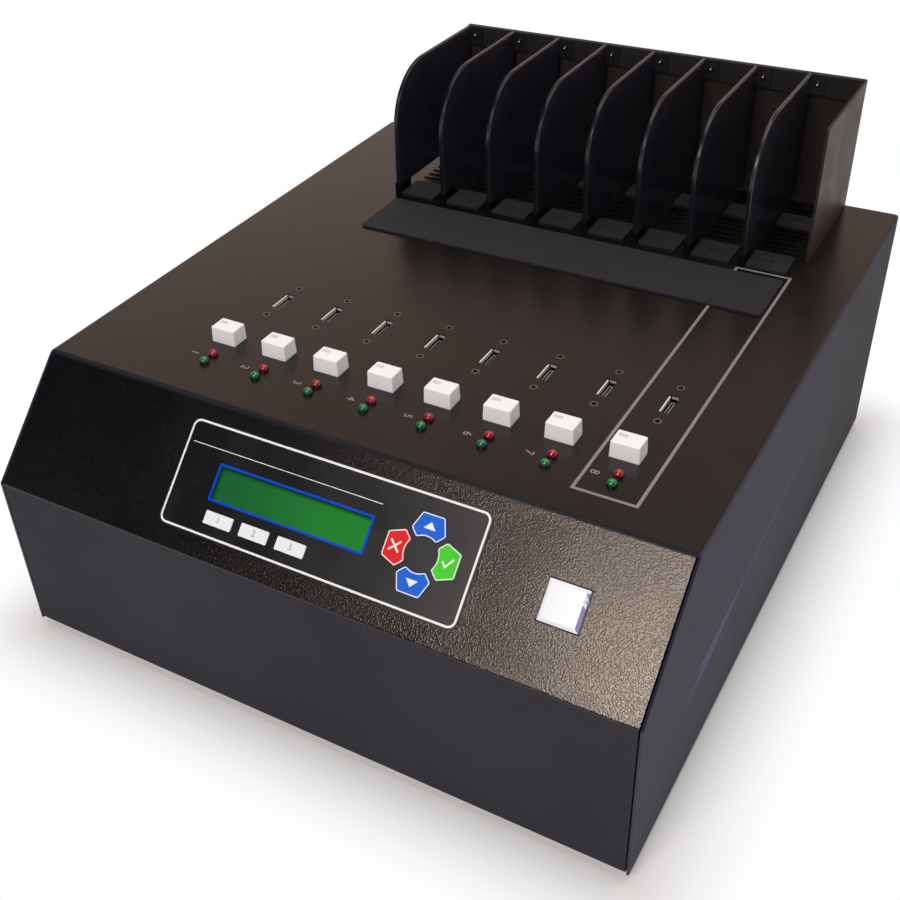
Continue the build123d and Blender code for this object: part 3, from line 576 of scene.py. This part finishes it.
def divider_paint():
    """Dark navy paint of the dividers, with painted shade on their edges, and tabs as black as the rail.
    """
    material, tree, shader, place = shade("divider_paint", Specular_IOR_Level=0.5)
    front = remap(tree, facing(tree, -BACK), *TAB_TURN)
    tab = product(tree, front, remap(tree, along(tree, place, BACK), *TAB_BAND))
    flat = remap(tree, unsigned(tree, facing(tree, RIGHT)), *TURNED)
    cloud = noise(tree, place, DIVIDER_CLOUD)
    tone = mix(tree, cloud, colour(40, 37, 48), colour(50, 46, 60))
    # Painted shade: faces not turned to a side, the edges, get a much darker tone
    tone = mix(tree, flat, colour(16, 15, 20), tone)
    gloss = spread(tree, cloud, *DIVIDER_ROUGH)
    feed(tree, shader, Base_Color=mix(tree, tab, tone, colour(34, 32, 32)), Roughness=gloss)
    bump(tree, shader, noise(tree, place, FINE_GRAIN, detail=3), DIVIDER_RELIEF)
    return material


def metal(name, tone, rough, grain, stretch=(1, 1, 1)):
    """Metal with fine drawn marks."""
    material, tree, shader, place = shade(name, Metallic=1.0)
    marks = noise(tree, stretched(tree, place, stretch), grain, detail=3)
    dark = (*[channel * METAL_DARK for channel in tone[:3]], 1.0)
    gloss = spread(tree, marks, *[rough * share for share in METAL_ROUGH])
    feed(tree, shader, Base_Color=mix(tree, marks, dark, tone), Roughness=gloss)
    bump(tree, shader, marks, METAL_RELIEF)
    return material


def lens(name, deep, lit):
    """Tinted clear plastic of a lamp, with painted light on its top and painted shade, deeper in colour,
    towards its edge.
    """
    material, tree, shader, place = shade(name, **LENS_VALUES)
    edge = remap(tree, facing(tree, UP), *LENS_TURN)
    swirl = noise(tree, place, LENS_SWIRL, detail=1)
    share = maths(tree, "MULTIPLY_ADD", swirl, LENS_SWIRL_SHARE, edge)
    feed(tree, shader, Base_Color=mix(tree, share, lit, deep))
    return material


def display_material():
    """Character display: green field with faint cells, shaded along its left and upper edges."""
    material, tree, shader, place = shade("display_green", **DISPLAY_VALUES)
    low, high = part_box("display_window")
    upper = middle("display_window").dot(up_slope) + WINDOW_WIDTH / 2
    x = along(tree, place, RIGHT)
    u = along(tree, place, up_slope)
    cloud = noise(tree, place, DISPLAY_CLOUD)
    uneven = maths(tree, "MULTIPLY_ADD", cloud, DISPLAY_CLOUD_SHARE, -DISPLAY_CLOUD_SHARE / 2)
    share = maths(tree, "ADD", remap(tree, x, low.x, high.x), uneven)
    field = mix(tree, share, colour(26, 92, 48), colour(36, 124, 46))
    cells = node(tree, "ShaderNodeTexChecker", {"Vector": place, "Scale": 1 / DISPLAY_CELL})
    cell_share = product(tree, cells.outputs["Fac"], DISPLAY_CELL_SHARE)
    field = mix(tree, cell_share, field, colour(20, 80, 36))
    left_light = remap(tree, x, low.x, low.x + DISPLAY_SHADE[0])
    top_light = remap(tree, u, upper, upper - DISPLAY_SHADE[1])
    field = mix(tree, product(tree, left_light, top_light), colour(10, 44, 26), field)
    feed(tree, shader, Base_Color=field, Emission_Color=field)
    return material


def board_material(name, ground, track):
    """Circuit board lacquer with tracks."""
    material, tree, shader, place = shade(name, Roughness=0.35)
    inputs = {"Vector": place, "Scale": 1 / BOARD_TRACK, "Mortar Size": BOARD_LINE}
    inputs.update({"Color1": ground, "Color2": ground, "Mortar": track})
    feed(tree, shader, Base_Color=node(tree, "ShaderNodeTexBrick", inputs).outputs["Color"])
    bump(tree, shader, noise(tree, place, BOARD_GRAIN), BOARD_RELIEF)
    return material


def power_paint():
    """White power button with a painted glow, and patches of painted violet reflection on the bevel at
    its right.
    """
    light = colour(240, 242, 247)
    material, tree, shader, place = shade("power_white", Emission_Color=light, **POWER_VALUES)
    right = remap(tree, facing(tree, RIGHT), *RIM_TURN)
    patches = remap(tree, noise(tree, place, RIM_PATCH), *RIM_PATCH_SPREAD)
    face = mix(tree, noise(tree, place, POWER_CLOUD), colour(232, 235, 242), colour(242, 244, 248))
    # Painted reflection: violet patches on the bevel turned to the right
    feed(tree, shader, Base_Color=mix(tree, product(tree, right, patches), face, colour(134, 128, 178)))
    bump(tree, shader, noise(tree, place, FINE_GRAIN), POWER_RELIEF)
    return material


# The look of each material slot
mats = {
    "cover_paint": cover_paint(),
    "front_paint": pebble_paint(),
    "rack_paint": rack_paint(),
    "rubber_black": finish_coat(
        "rubber_black", colour(21, 21, 23), colour(34, 35, 37), rough=(0.7, 0.85), relief=0.03 * mm
    ),
    "mat_grey": finish_coat(
        "mat_grey", colour(27, 27, 30), colour(39, 39, 44), rough=(0.75, 0.9), relief=0.06 * mm
    ),
    "screw_black": metal("screw_black", colour(70, 60, 53), rough=0.45, grain=0.6 * mm),
    "screw_bright": metal("screw_bright", colour(70, 68, 67), rough=0.12, grain=0.6 * mm),
    "port_metal": metal("port_metal", colour(92, 86, 80), rough=0.3, grain=0.5 * mm, stretch=(1, 1, 0.1)),
    "plastic_black": moulding("plastic_black", colour(16, 16, 17), colour(26, 26, 27), rough=(0.38, 0.5)),
    # The white caps have a faint painted glow
    "cap_white": moulding("cap_white", colour(246, 247, 248), colour(252, 252, 252), glow=CAP_PAINTED_GLOW),
    "lamp_red": lens("lamp_red", colour(84, 0, 12), colour(188, 0, 26)),
    "lamp_green": lens("lamp_green", colour(0, 54, 28), colour(0, 136, 66)),
    "overlay_black": moulding(
        "overlay_black", colour(7, 7, 9), colour(12, 11, 14), rough=(0.3, 0.36), shine=0.55
    ),
    "display_green": display_material(),
    "key_white": moulding("key_white", colour(236, 240, 248), colour(246, 248, 252), shine=0.15),
    "key_red": moulding("key_red", colour(222, 34, 38), colour(234, 44, 48), shine=0.12),
    "key_green": moulding("key_green", colour(70, 204, 48), colour(84, 218, 60), shine=0.12),
    "key_blue": moulding("key_blue", colour(26, 98, 214), colour(36, 108, 226), shine=0.12),
    "board_green": board_material("board_green", colour(12, 66, 34), colour(38, 110, 60)),
    "supply_metal": metal(
        "supply_metal", colour(190, 192, 194), rough=0.35, grain=1.2 * mm, stretch=(0.2, 1, 1)
    ),
    "pin_metal": metal(
        "pin_metal", colour(214, 196, 150), rough=0.25, grain=0.5 * mm, stretch=(1, 0.2, 1)
    ),
    "cable_red": moulding("cable_red", colour(150, 18, 20), colour(176, 28, 28), rough=(0.4, 0.5)),
}

# Looks of single nodes and of the added pieces
divider_navy = divider_paint()
rail_black = finish_coat(
    "rail_black",
    colour(31, 29, 29),
    colour(38, 35, 35),
    rough=(0.5, 0.6),
    relief=PAINT_RELIEF,
    Specular_IOR_Level=0.3,
)
shoe_black = moulding("shoe_black", colour(7, 7, 9), colour(13, 13, 15), rough=(0.6, 0.75), shine=0.08)
power_white = power_paint()
print_white = moulding("print_white", colour(236, 236, 238), colour(246, 246, 247), rough=(0.4, 0.5))
print_grey = moulding("print_grey", colour(136, 129, 125), colour(150, 143, 138), rough=(0.45, 0.55))
print_blue = moulding(
    "print_blue", colour(4, 66, 208), colour(10, 78, 222), rough=(0.35, 0.45), shine=0.12
)
ink_grey = moulding("ink_grey", colour(150, 160, 178), colour(170, 178, 192), rough=(0.4, 0.5))
# Pale grey for the marks on the caps and the painted glints on the rail's screws
mark_grey = moulding("mark_grey", colour(212, 218, 226), colour(224, 229, 235), rough=(0.4, 0.5))
# Dark inlays that are painted shade in the recesses of screws and the dimples of pads
recess_shade = moulding("recess_shade", colour(6, 6, 6), colour(12, 11, 11), rough=(0.6, 0.75), shine=0.06)
rim_brown = metal("rim_brown", colour(152, 137, 122), rough=0.4, grain=0.4 * mm)
# Painted highlights: the cream left springs and the grey tongue rims; the grey also serves the end
# springs
spring_highlight = moulding("spring_highlight", colour(232, 222, 204), colour(244, 236, 220), rough=(0.25, 0.35))
contact_and_highlight_grey = moulding("contact_and_highlight_grey", colour(158, 163, 176), colour(178, 183, 196), rough=(0.35, 0.45))

own_looks = {"divider_shoes": shoe_black, "rack_rail": rail_black}
own_looks.update({f"divider_{number}": divider_navy for number in columns})
for part_name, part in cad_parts.items():
    for holder in part.material_slots:
        slot_look = mats[holder.material.name.split(".")[0]]
        holder.material = own_looks.get(part_name, slot_look)


# Outlines and meshes of the added pieces

def rounded(width, height, radius, steps=SMALL_CORNER_STEPS):
    """Outline of a rounded rectangle about the origin, counter-clockwise."""
    points = []
    corners = ((1, 1, 0), (-1, 1, 90), (-1, -1, 180), (1, -1, 270))
    for i, j, start in corners:
        for step in range(steps + 1):
            angle = math.radians(start + 90 * step / steps)
            x = i * (width / 2 - radius) + radius * math.cos(angle)
            points.append((x, j * (height / 2 - radius) + radius * math.sin(angle)))
    return points


def strip(size):
    """Outline of a thin strip with softened corners."""
    return rounded(*size, min(size) * STRIP_CORNER)


def circle(radius, steps=CIRCLE_STEPS):
    """Outline of a circle about the origin."""
    turns = [2 * math.pi * step / steps for step in range(steps)]
    return [(radius * math.cos(turn), radius * math.sin(turn)) for turn in turns]


def stroke(first, last, width):
    """Outline of a straight stroke with square ends."""
    a, b = Vector(first), Vector(last)
    ahead = (b - a).normalized() * width / 2
    side = Vector((-ahead.y, ahead.x))
    corners = (a - ahead - side, b + ahead - side, b + ahead + side, a - ahead + side)
    return [tuple(corner) for corner in corners]


def inset(points, amount):
    """An outline moved inwards by an amount, corner by corner."""
    made = []
    count = len(points)
    for i, point in enumerate(points):
        here = Vector(point)
        back = (here - Vector(points[i - 1])).normalized()
        ahead = (Vector(points[(i + 1) % count]) - here).normalized()
        normal = Vector((-back.y - ahead.y, back.x + ahead.x)).normalized()
        lean = max(normal.dot(Vector((-ahead.y, ahead.x))), SHARPEST_LEAN)
        made.append(tuple(here + normal * amount / lean))
    return made


def row_of(mesh, outline, place, level):
    """An outline's corners, at a level above a place."""
    return [mesh.verts.new(place @ Vector((x, y, level))) for x, y in outline]


def wall(mesh, first, second):
    """Faces all round between two rows with as many corners."""
    for corners in zip(first, first[1:] + first[:1], second[1:] + second[:1], second):
        mesh.faces.new(corners)


def ring_slab(mesh, outer, inner, place, low, high):
    """A closed thin ring between two outlines with as many points."""
    turns = ((outer, low), (outer, high), (inner, high), (inner, low))
    rows = [row_of(mesh, outline, place, level) for outline, level in turns]
    for first, second in zip(rows, rows[1:] + rows[:1]):
        wall(mesh, first, second)


def closed(mesh, rows):
    """A solid through rows with as many corners, with a face on the last and the first."""
    mesh.faces.new(rows[-1])
    mesh.faces.new(rows[0][::-1])
    for first, second in zip(rows, rows[1:]):
        wall(mesh, first, second)


def slab(mesh, outline, place, low, high):
    """A closed thin plate with that outline."""
    closed(mesh, [row_of(mesh, outline, place, level) for level in (low, high)])


def piece_of(name, mesh, material, body):
    """A new piece from a mesh, riding on a body."""
    bmesh.ops.recalc_face_normals(mesh, faces=mesh.faces)
    data = bpy.data.meshes.new(name)
    mesh.to_mesh(data)
    mesh.free()
    piece = bpy.data.objects.new(name, data)
    scene.collection.objects.link(piece)
    data.materials.append(material)
    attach(piece, body)
    return piece


def lettering(name, text, size, weight, place, material, body):
    """A printed sign as a thin mesh, centred on its place."""
    curve = bpy.data.curves.new(name, "FONT")
    curve.body = text
    curve.size = size
    curve.align_x = "CENTER"
    curve.align_y = "CENTER"
    curve.extrude = PRINT
    curve.offset = weight
    sign = bpy.data.objects.new(name + "_line", curve)
    scene.collection.objects.link(sign)
    bpy.context.view_layer.update()
    drawn = bmesh.new()
    drawn.from_mesh(sign.to_mesh())
    bpy.data.objects.remove(sign)
    bmesh.ops.remove_doubles(drawn, verts=drawn.verts, dist=SAME_POINT)
    drawn.transform(place)
    return piece_of(name, drawn, material, body)


# Control panel and power button

def panel_border():
    """White rounded line along the edge of the panel."""
    length = width_of("control_overlay")
    outlines = []
    for edge in (BORDER_INSET, BORDER_INSET + BORDER_LINE):
        size = (length - 2 * edge, PANEL_WIDTH - 2 * edge)
        outlines.append(rounded(*size, PANEL_CORNER - edge, CORNER_STEPS))
    mesh = bmesh.new()
    ring_slab(mesh, *outlines, panel, -SINK, PRINT)
    piece_of("panel_border", mesh, print_white, "chassis")


def panel_rule():
    """Thin white line above the display."""
    left, right = RULE_SPAN
    mesh = bmesh.new()
    slab(mesh, strip((right - left, RULE_LINE)), panel_place((left + right) / 2, RULE_U), -SINK, PRINT)
    piece_of("panel_rule", mesh, print_white, "chassis")


def window_frame():
    """Blue line round the display window."""
    spot = on_panel("display_window")
    outlines = []
    for line, corner in zip((WINDOW_FRAME, 0.0), WINDOW_CORNERS):
        outlines.append(rounded(width_of("display_window") + 2 * line, WINDOW_WIDTH + 2 * line, corner))
    mesh = bmesh.new()
    ring_slab(mesh, *outlines, panel_place(spot.x, spot.y), -SINK, PRINT)
    piece_of("window_frame", mesh, print_blue, "chassis")


def key_edge(part_name):
    """The edge of a key's flat face on the panel, counter-clockwise."""
    spots = spots_on_panel(part_name)
    names = [(round(spot.x, SAME_POINT_DIGITS), round(spot.y, SAME_POINT_DIGITS)) for spot in spots]
    edges = {}
    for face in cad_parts[part_name].data.polygons:
        if min(spots[i].z for i in face.vertices) < KEY_PROUD - SINK:
            continue
        ring = [names[i] for i in face.vertices]
        for first, second in zip(ring, ring[1:] + ring[:1]):
            # Two faces of the flat share an inner edge, which the second one takes away
            if (second, first) in edges:
                del edges[second, first]
            else:
                edges[first, second] = True
    following = dict(edges.keys())
    outline = [next(iter(following))]
    while following[outline[-1]] != outline[0]:
        outline.append(following[outline[-1]])
    return outline


def key_lines():
    """White outlines on the ring keys."""
    for name in RING_KEYS:
        edge = key_edge(name)
        mesh = bmesh.new()
        ring_slab(mesh, edge, inset(edge, KEY_LINE), panel_place(0, 0, KEY_PROUD), -SINK, PRINT)
        piece_of(name + "_outline", mesh, print_white, name)


def key_signs():
    """Arrows on the blue keys, a cross and a tick on the others, and numbers on the function keys."""
    half, tall, reach = ARROW_WIDTH / 2, ARROW_HEIGHT / 2, SIGN_REACH
    arrow = [(-half, -tall), (half, -tall), (0, tall)]
    cross = [
        stroke((-reach, -reach), (reach, reach), SIGN_LINE),
        stroke((-reach, reach), (reach, -reach), SIGN_LINE),
    ]
    tick = [
        stroke((-reach, 0), TICK_HEEL, SIGN_LINE),
        stroke(TICK_HEEL, (reach, reach), SIGN_LINE),
    ]
    signs = {
        "key_up": (0, 1, [arrow]),
        "key_down": (0, -1, [[(-x, -y) for x, y in arrow]]),
        "key_escape": (-1, 0, cross),
        "key_enter": (1, 0, tick),
    }
    ring = (on_panel("key_escape") + on_panel("key_enter")) / 2
    for name, (i, j, outlines) in signs.items():
        x, u = ring.x + i * KEY_SIGN_RADIUS, ring.y + j * KEY_SIGN_RADIUS
        mesh = bmesh.new()
        for layer, outline in enumerate(outlines):
            slab(mesh, outline, panel_place(x, u, KEY_PROUD + layer * SINK), -SINK / 2, PRINT)
        piece_of(name + "_sign", mesh, print_white, name)
    for number in range(1, FUNCTION_KEYS + 1):
        name = f"key_function_{number}"
        spot = on_panel(name)
        place = panel_place(spot.x, spot.y, KEY_PROUD)
        lettering(name + "_sign", str(number), NUMBER_SIZE, 0.0, place, ink_grey, name)


def power_cap():
    """The power button with its bevelled face and sharp corners."""
    spots = spots_on_panel("power_button")
    low = [min(spot[axis] for spot in spots) for axis in range(3)]
    high = [max(spot[axis] for spot in spots) for axis in range(3)]
    place = panel_place((low[0] + high[0]) / 2, (low[1] + high[1]) / 2, high[2])
    inwards, down = POWER_BEVEL
    mesh = bmesh.new()
    rows = []
    for level, margin in ((-POWER_SKIRT, POWER_GAP), (-down, POWER_GAP), (0.0, POWER_GAP + inwards)):
        side = high[0] - low[0] - 2 * margin
        rows.append(row_of(mesh, rounded(side, side, POWER_CORNER), place, level))
    closed(mesh, rows)
    cap = piece_of("power_cap", mesh, power_white, "power_button")
    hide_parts("power_button")


# Print and small parts on the flat top and the rack

def column_digits():
    """Plain numbers beside the lamps, read from the left side."""
    turn = Matrix.Rotation(math.radians(-90), 4, "Z")
    y = middle("lamps_green").y + DIGIT_PLACE[1]
    for number in columns:
        place = top_place(column_x(number) + DIGIT_PLACE[0], y) @ turn
        name = f"column_digit_{number}"
        lettering(name, str(number), DIGIT_SIZE, DIGIT_WEIGHT, place, print_grey, "chassis")


def source_frame():
    """Grey line round the eighth column."""
    x = column_x(COLUMN_COUNT)
    left, right = x - FRAME_LEFT, x + FRAME_RIGHT
    front = middle("lamps_green").y - FRAME_FRONT
    outlines = []
    for line, corner in zip((0.0, FRAME_LINE), FRAME_CORNERS):
        size = (right - left - 2 * line, FRAME_REAR - front - 2 * line)
        outlines.append(rounded(*size, corner, TINY_CORNER_STEPS))
    mesh = bmesh.new()
    ring_slab(mesh, *outlines, top_place((left + right) / 2, (front + FRAME_REAR) / 2), -SINK, PRINT)
    piece_of("source_frame", mesh, print_grey, "chassis")


def cap_marks():
    """Small grey mark near the rear left corner of each button cap."""
    outline = rounded(*CAP_MARK_SIZE, CAP_MARK_CORNER)
    for number in columns:
        name = f"port_button_{number}"
        spot = middle(name) + Vector((*CAP_MARK_PLACE, 0))
        spot.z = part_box(name)[1].z
        mesh = bmesh.new()
        slab(mesh, outline, Matrix.Translation(spot), -SINK, SINK)
        piece_of(name + "_mark", mesh, mark_grey, name)


def port_fittings():
    """In each port a spring at the left wall painted bright as its highlight, a dull one at the far end,
    and the tongue's rim, a painted highlight along its edges.
    """
    springs = bmesh.new()
    end_springs = bmesh.new()
    tongues = bmesh.new()
    y = middle("port_shells").y
    rear = y + PORT_MOUTH[1] / 2 - SPRING_INSET - END_SPRING_SIZE[1] / 2
    tongue_rim = rounded(*TONGUE_SIZE, TONGUE_LINE, TINY_CORNER_STEPS)
    tongue_hole = [size - 2 * TONGUE_LINE for size in TONGUE_SIZE]
    tongue_hole = rounded(*tongue_hole, TONGUE_LINE / 2, TINY_CORNER_STEPS)
    for number in columns:
        x = column_x(number)
        left = x - PORT_MOUTH[0] / 2 + SPRING_INSET + SPRING_SIZE[0] / 2
        slab(springs, strip(SPRING_SIZE), top_place(left, y, SPRING_DROP), -SPRING_DEPTH, 0)
        place = top_place(x + SPRING_SIZE[0] / 2, rear, END_SPRING_DROP)
        slab(end_springs, strip(END_SPRING_SIZE), place, -END_SPRING_DEPTH, 0)
        ring_slab(tongues, tongue_rim, tongue_hole, top_place(x, y, TONGUE_DROP), -TONGUE_LINE, 0)
    piece_of("port_springs", springs, spring_highlight, "chassis")
    piece_of("port_end_springs", end_springs, contact_and_highlight_grey, "chassis")
    piece_of("port_tongue_rims", tongues, contact_and_highlight_grey, "chassis")


def port_screw_heads():
    """A lighter rim, worn and with a painted highlight, and a dark socket of painted shade on each screw
    beside the ports.
    """
    rims = bmesh.new()
    sockets = bmesh.new()
    outer, inner = SCREW_RIM
    y = middle("port_shells").y
    for number in columns:
        for side in (-1, 1):
            place = top_place(column_x(number), y + side * PORT_SCREW_PITCH / 2)
            ring_slab(rims, circle(outer), circle(inner), place, -SINK, SINK)
            slab(sockets, circle(SCREW_SOCKET, SOCKET_SIDES), place, -SINK, SINK)
    piece_of("port_screw_rims", rims, rim_brown, "chassis")
    piece_of("port_screw_sockets", sockets, recess_shade, "chassis")


def pad_dots():
    """Two small dark dots on each drive pad, painted shade of its dimples."""
    mesh = bmesh.new()
    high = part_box("drive_pads")[1].z
    for number in columns:
        for y in PAD_ROWS:
            for shift in PAD_DOT_X:
                place = Matrix.Translation((column_x(number) + shift, y, high))
                slab(mesh, circle(PAD_DOT, DOT_STEPS), place, -SINK, SINK)
    piece_of("pad_dots", mesh, recess_shade, "chassis")


def rail_screw_recesses():
    """A small painted glint on each screw on the rail."""
    mesh = bmesh.new()
    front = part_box("rail_screws")[0].y
    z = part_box("rack_rail")[1].z - RAIL_SCREW_DROP
    for number in columns:
        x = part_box(f"divider_{number}")[0].x + RAIL_SCREW_SIDE
        place = place_of(Vector((x, front, z)), RIGHT, UP, -BACK)
        slab(mesh, circle(RAIL_SCREW_GLINT, SOCKET_SIDES), place, -SINK, PRINT)
    piece_of("rail_screw_recesses", mesh, mark_grey, "chassis")


# Small parts at the rear

def cover_screw_crosses():
    """A dark cross in each screw of the cover's rear edge, painted shade of its cross recess."""
    side = cover_high.x - COVER_SCREW_EDGE
    spots = [(i * COVER_SCREW_X, top_z - COVER_SCREW_EDGE) for i in (-1, 1)]
    spots += [(i * side, z) for i in (-1, 1) for z in COVER_SCREW_UP]
    width, length = COVER_SCREW_CROSS
    mesh = bmesh.new()
    for x, z in spots:
        place = rear_place(x, z, cover_high.y)
        for end, level in zip(((length / 2, 0), (0, length / 2)), COVER_SCREW_BARS):
            slab(mesh, stroke((-end[0], -end[1]), end, width), place, -SINK, level)
    piece_of("cover_screw_crosses", mesh, recess_shade, "chassis")


def rocker_signs():
    """A bar and a ring on the two ends of the rocker."""
    pivot = rear_place(middle("mains_inlet").x, middle("rocker").z, tray_high.y - ROCKER_PIVOT)
    pivot = pivot @ Matrix.Rotation(math.radians(ROCKER_LEAN), 4, "Y")
    tilt = math.atan2(ROCKER_DIP, ROCKER_HALF)
    places = []
    for side in (-1, 1):
        place = pivot @ Matrix.Translation((side * ROCKER_HALF / 2, 0, ROCKER_FACE - ROCKER_DIP / 2))
        places.append(place @ Matrix.Rotation(-side * tilt, 4, "Y"))
    bar_place, ring_place = places
    bar, ring = ROCKER_SIGN_REACH
    mesh = bmesh.new()
    slab(mesh, stroke((0, -bar), (0, bar), ROCKER_SIGN_LINE), bar_place, -SINK, PRINT)
    ring_slab(mesh, circle(ring), circle(ring - ROCKER_SIGN_LINE), ring_place, -SINK, PRINT)
    piece_of("rocker_signs", mesh, print_white, "rocker")


panel_border()
panel_rule()
window_frame()
key_lines()
key_signs()
power_cap()
column_digits()
source_frame()
cap_marks()
port_fittings()
port_screw_heads()
pad_dots()
rail_screw_recesses()
cover_screw_crosses()
rocker_signs()


# Stage, light and camera

def floor_paint():
    """Pale paint for the object's shadow; what the eye and reflections see turns white away from it."""
    material, tree, shader, place = shade("floor_white", Roughness=0.9, Specular_IOR_Level=0.0)
    feed(tree, shader, Base_Color=mix(tree, noise(tree, place, FLOOR_CLOUD, detail=1), *FLOOR_TONES))
    half = (cover_high.x, tray_high.y, 1.0)
    apart = vector_maths(tree, "ABSOLUTE", place)["Vector"]
    apart = vector_maths(tree, "SUBTRACT", apart, half)["Vector"]
    apart = vector_maths(tree, "MAXIMUM", apart, (0, 0, 0))["Vector"]
    away = vector_maths(tree, "LENGTH", apart)["Value"]
    path = node(tree, "ShaderNodeLightPath").outputs
    seen = maths(tree, "ADD", path["Is Camera Ray"], path["Is Glossy Ray"])
    seen = maths(tree, "MINIMUM", maths(tree, "ADD", seen, path["Is Transmission Ray"]), 1.0)
    share = product(tree, seen, remap(tree, away, *FLOOR_FADE))
    white = node(tree, "ShaderNodeEmission", {"Color": WHITE, "Strength": 1.0})
    joined = node(tree, "ShaderNodeMixShader", {0: share, 1: shader.outputs[0], 2: white.outputs[0]})
    tree.links.new(joined.outputs[0], tree.nodes["Material Output"].inputs["Surface"])
    return material


def floor():
    """Round floor just under the object."""
    mesh = bmesh.new()
    bmesh.ops.create_circle(mesh, cap_ends=True, segments=FLOOR_SIDES, radius=FLOOR_RADIUS)
    data = bpy.data.meshes.new("floor")
    mesh.to_mesh(data)
    mesh.free()
    ground = bpy.data.objects.new("floor", data)
    ground.location.z = -PRINT
    scene.collection.objects.link(ground)
    data.materials.append(floor_paint())


def studio_world():
    """White at the horizon, a warm glow to the back left, and dark above the front."""
    world = bpy.data.worlds.new("studio")
    scene.world = world
    world.use_nodes = True
    tree = world.node_tree
    way = node(tree, "ShaderNodeTexCoord").outputs["Generated"]
    apart = node(tree, "ShaderNodeSeparateXYZ", {0: way})
    x, y, z = (apart.outputs[axis] for axis in "XYZ")
    back = remap(tree, y, *GLOW_BACK)
    left = remap(tree, x, *GLOW_LEFT)
    low = remap(tree, z, *GLOW_HEIGHT)
    warm = mix(tree, product(tree, back, left, low), ROOM_DARK, ROOM_WARM)
    tone = mix(tree, remap(tree, z, *HORIZON), warm, WHITE)
    tree.links.new(tone, tree.nodes["Background"].inputs["Color"])


def softbox(name, place, target, size, power, tone):
    """An area lamp that faces a point."""
    data = bpy.data.lights.new(name, "AREA")
    data.shape = "RECTANGLE"
    data.size, data.size_y = size
    data.energy = power
    data.color = tone
    lamp = bpy.data.objects.new(name, data)
    scene.collection.objects.link(lamp)
    lamp.location = place
    lamp.rotation_euler = (Vector(target) - Vector(place)).to_track_quat("-Z", "Y").to_euler()


def camera():
    """The photograph's view."""
    data = bpy.data.cameras.new("camera")
    data.lens = CAMERA_LENS
    data.sensor_width = CAMERA_SENSOR
    data.shift_x, data.shift_y = CAMERA_SHIFT
    data.clip_start = CAMERA_NEAR
    eye = bpy.data.objects.new("camera", data)
    scene.collection.objects.link(eye)
    eye.location = CAMERA_PLACE
    eye.rotation_euler = [math.radians(turn) for turn in CAMERA_TURN]
    scene.camera = eye


floor()
studio_world()
for lamp_name, settings in LAMPS.items():
    softbox(lamp_name, *settings)
camera()
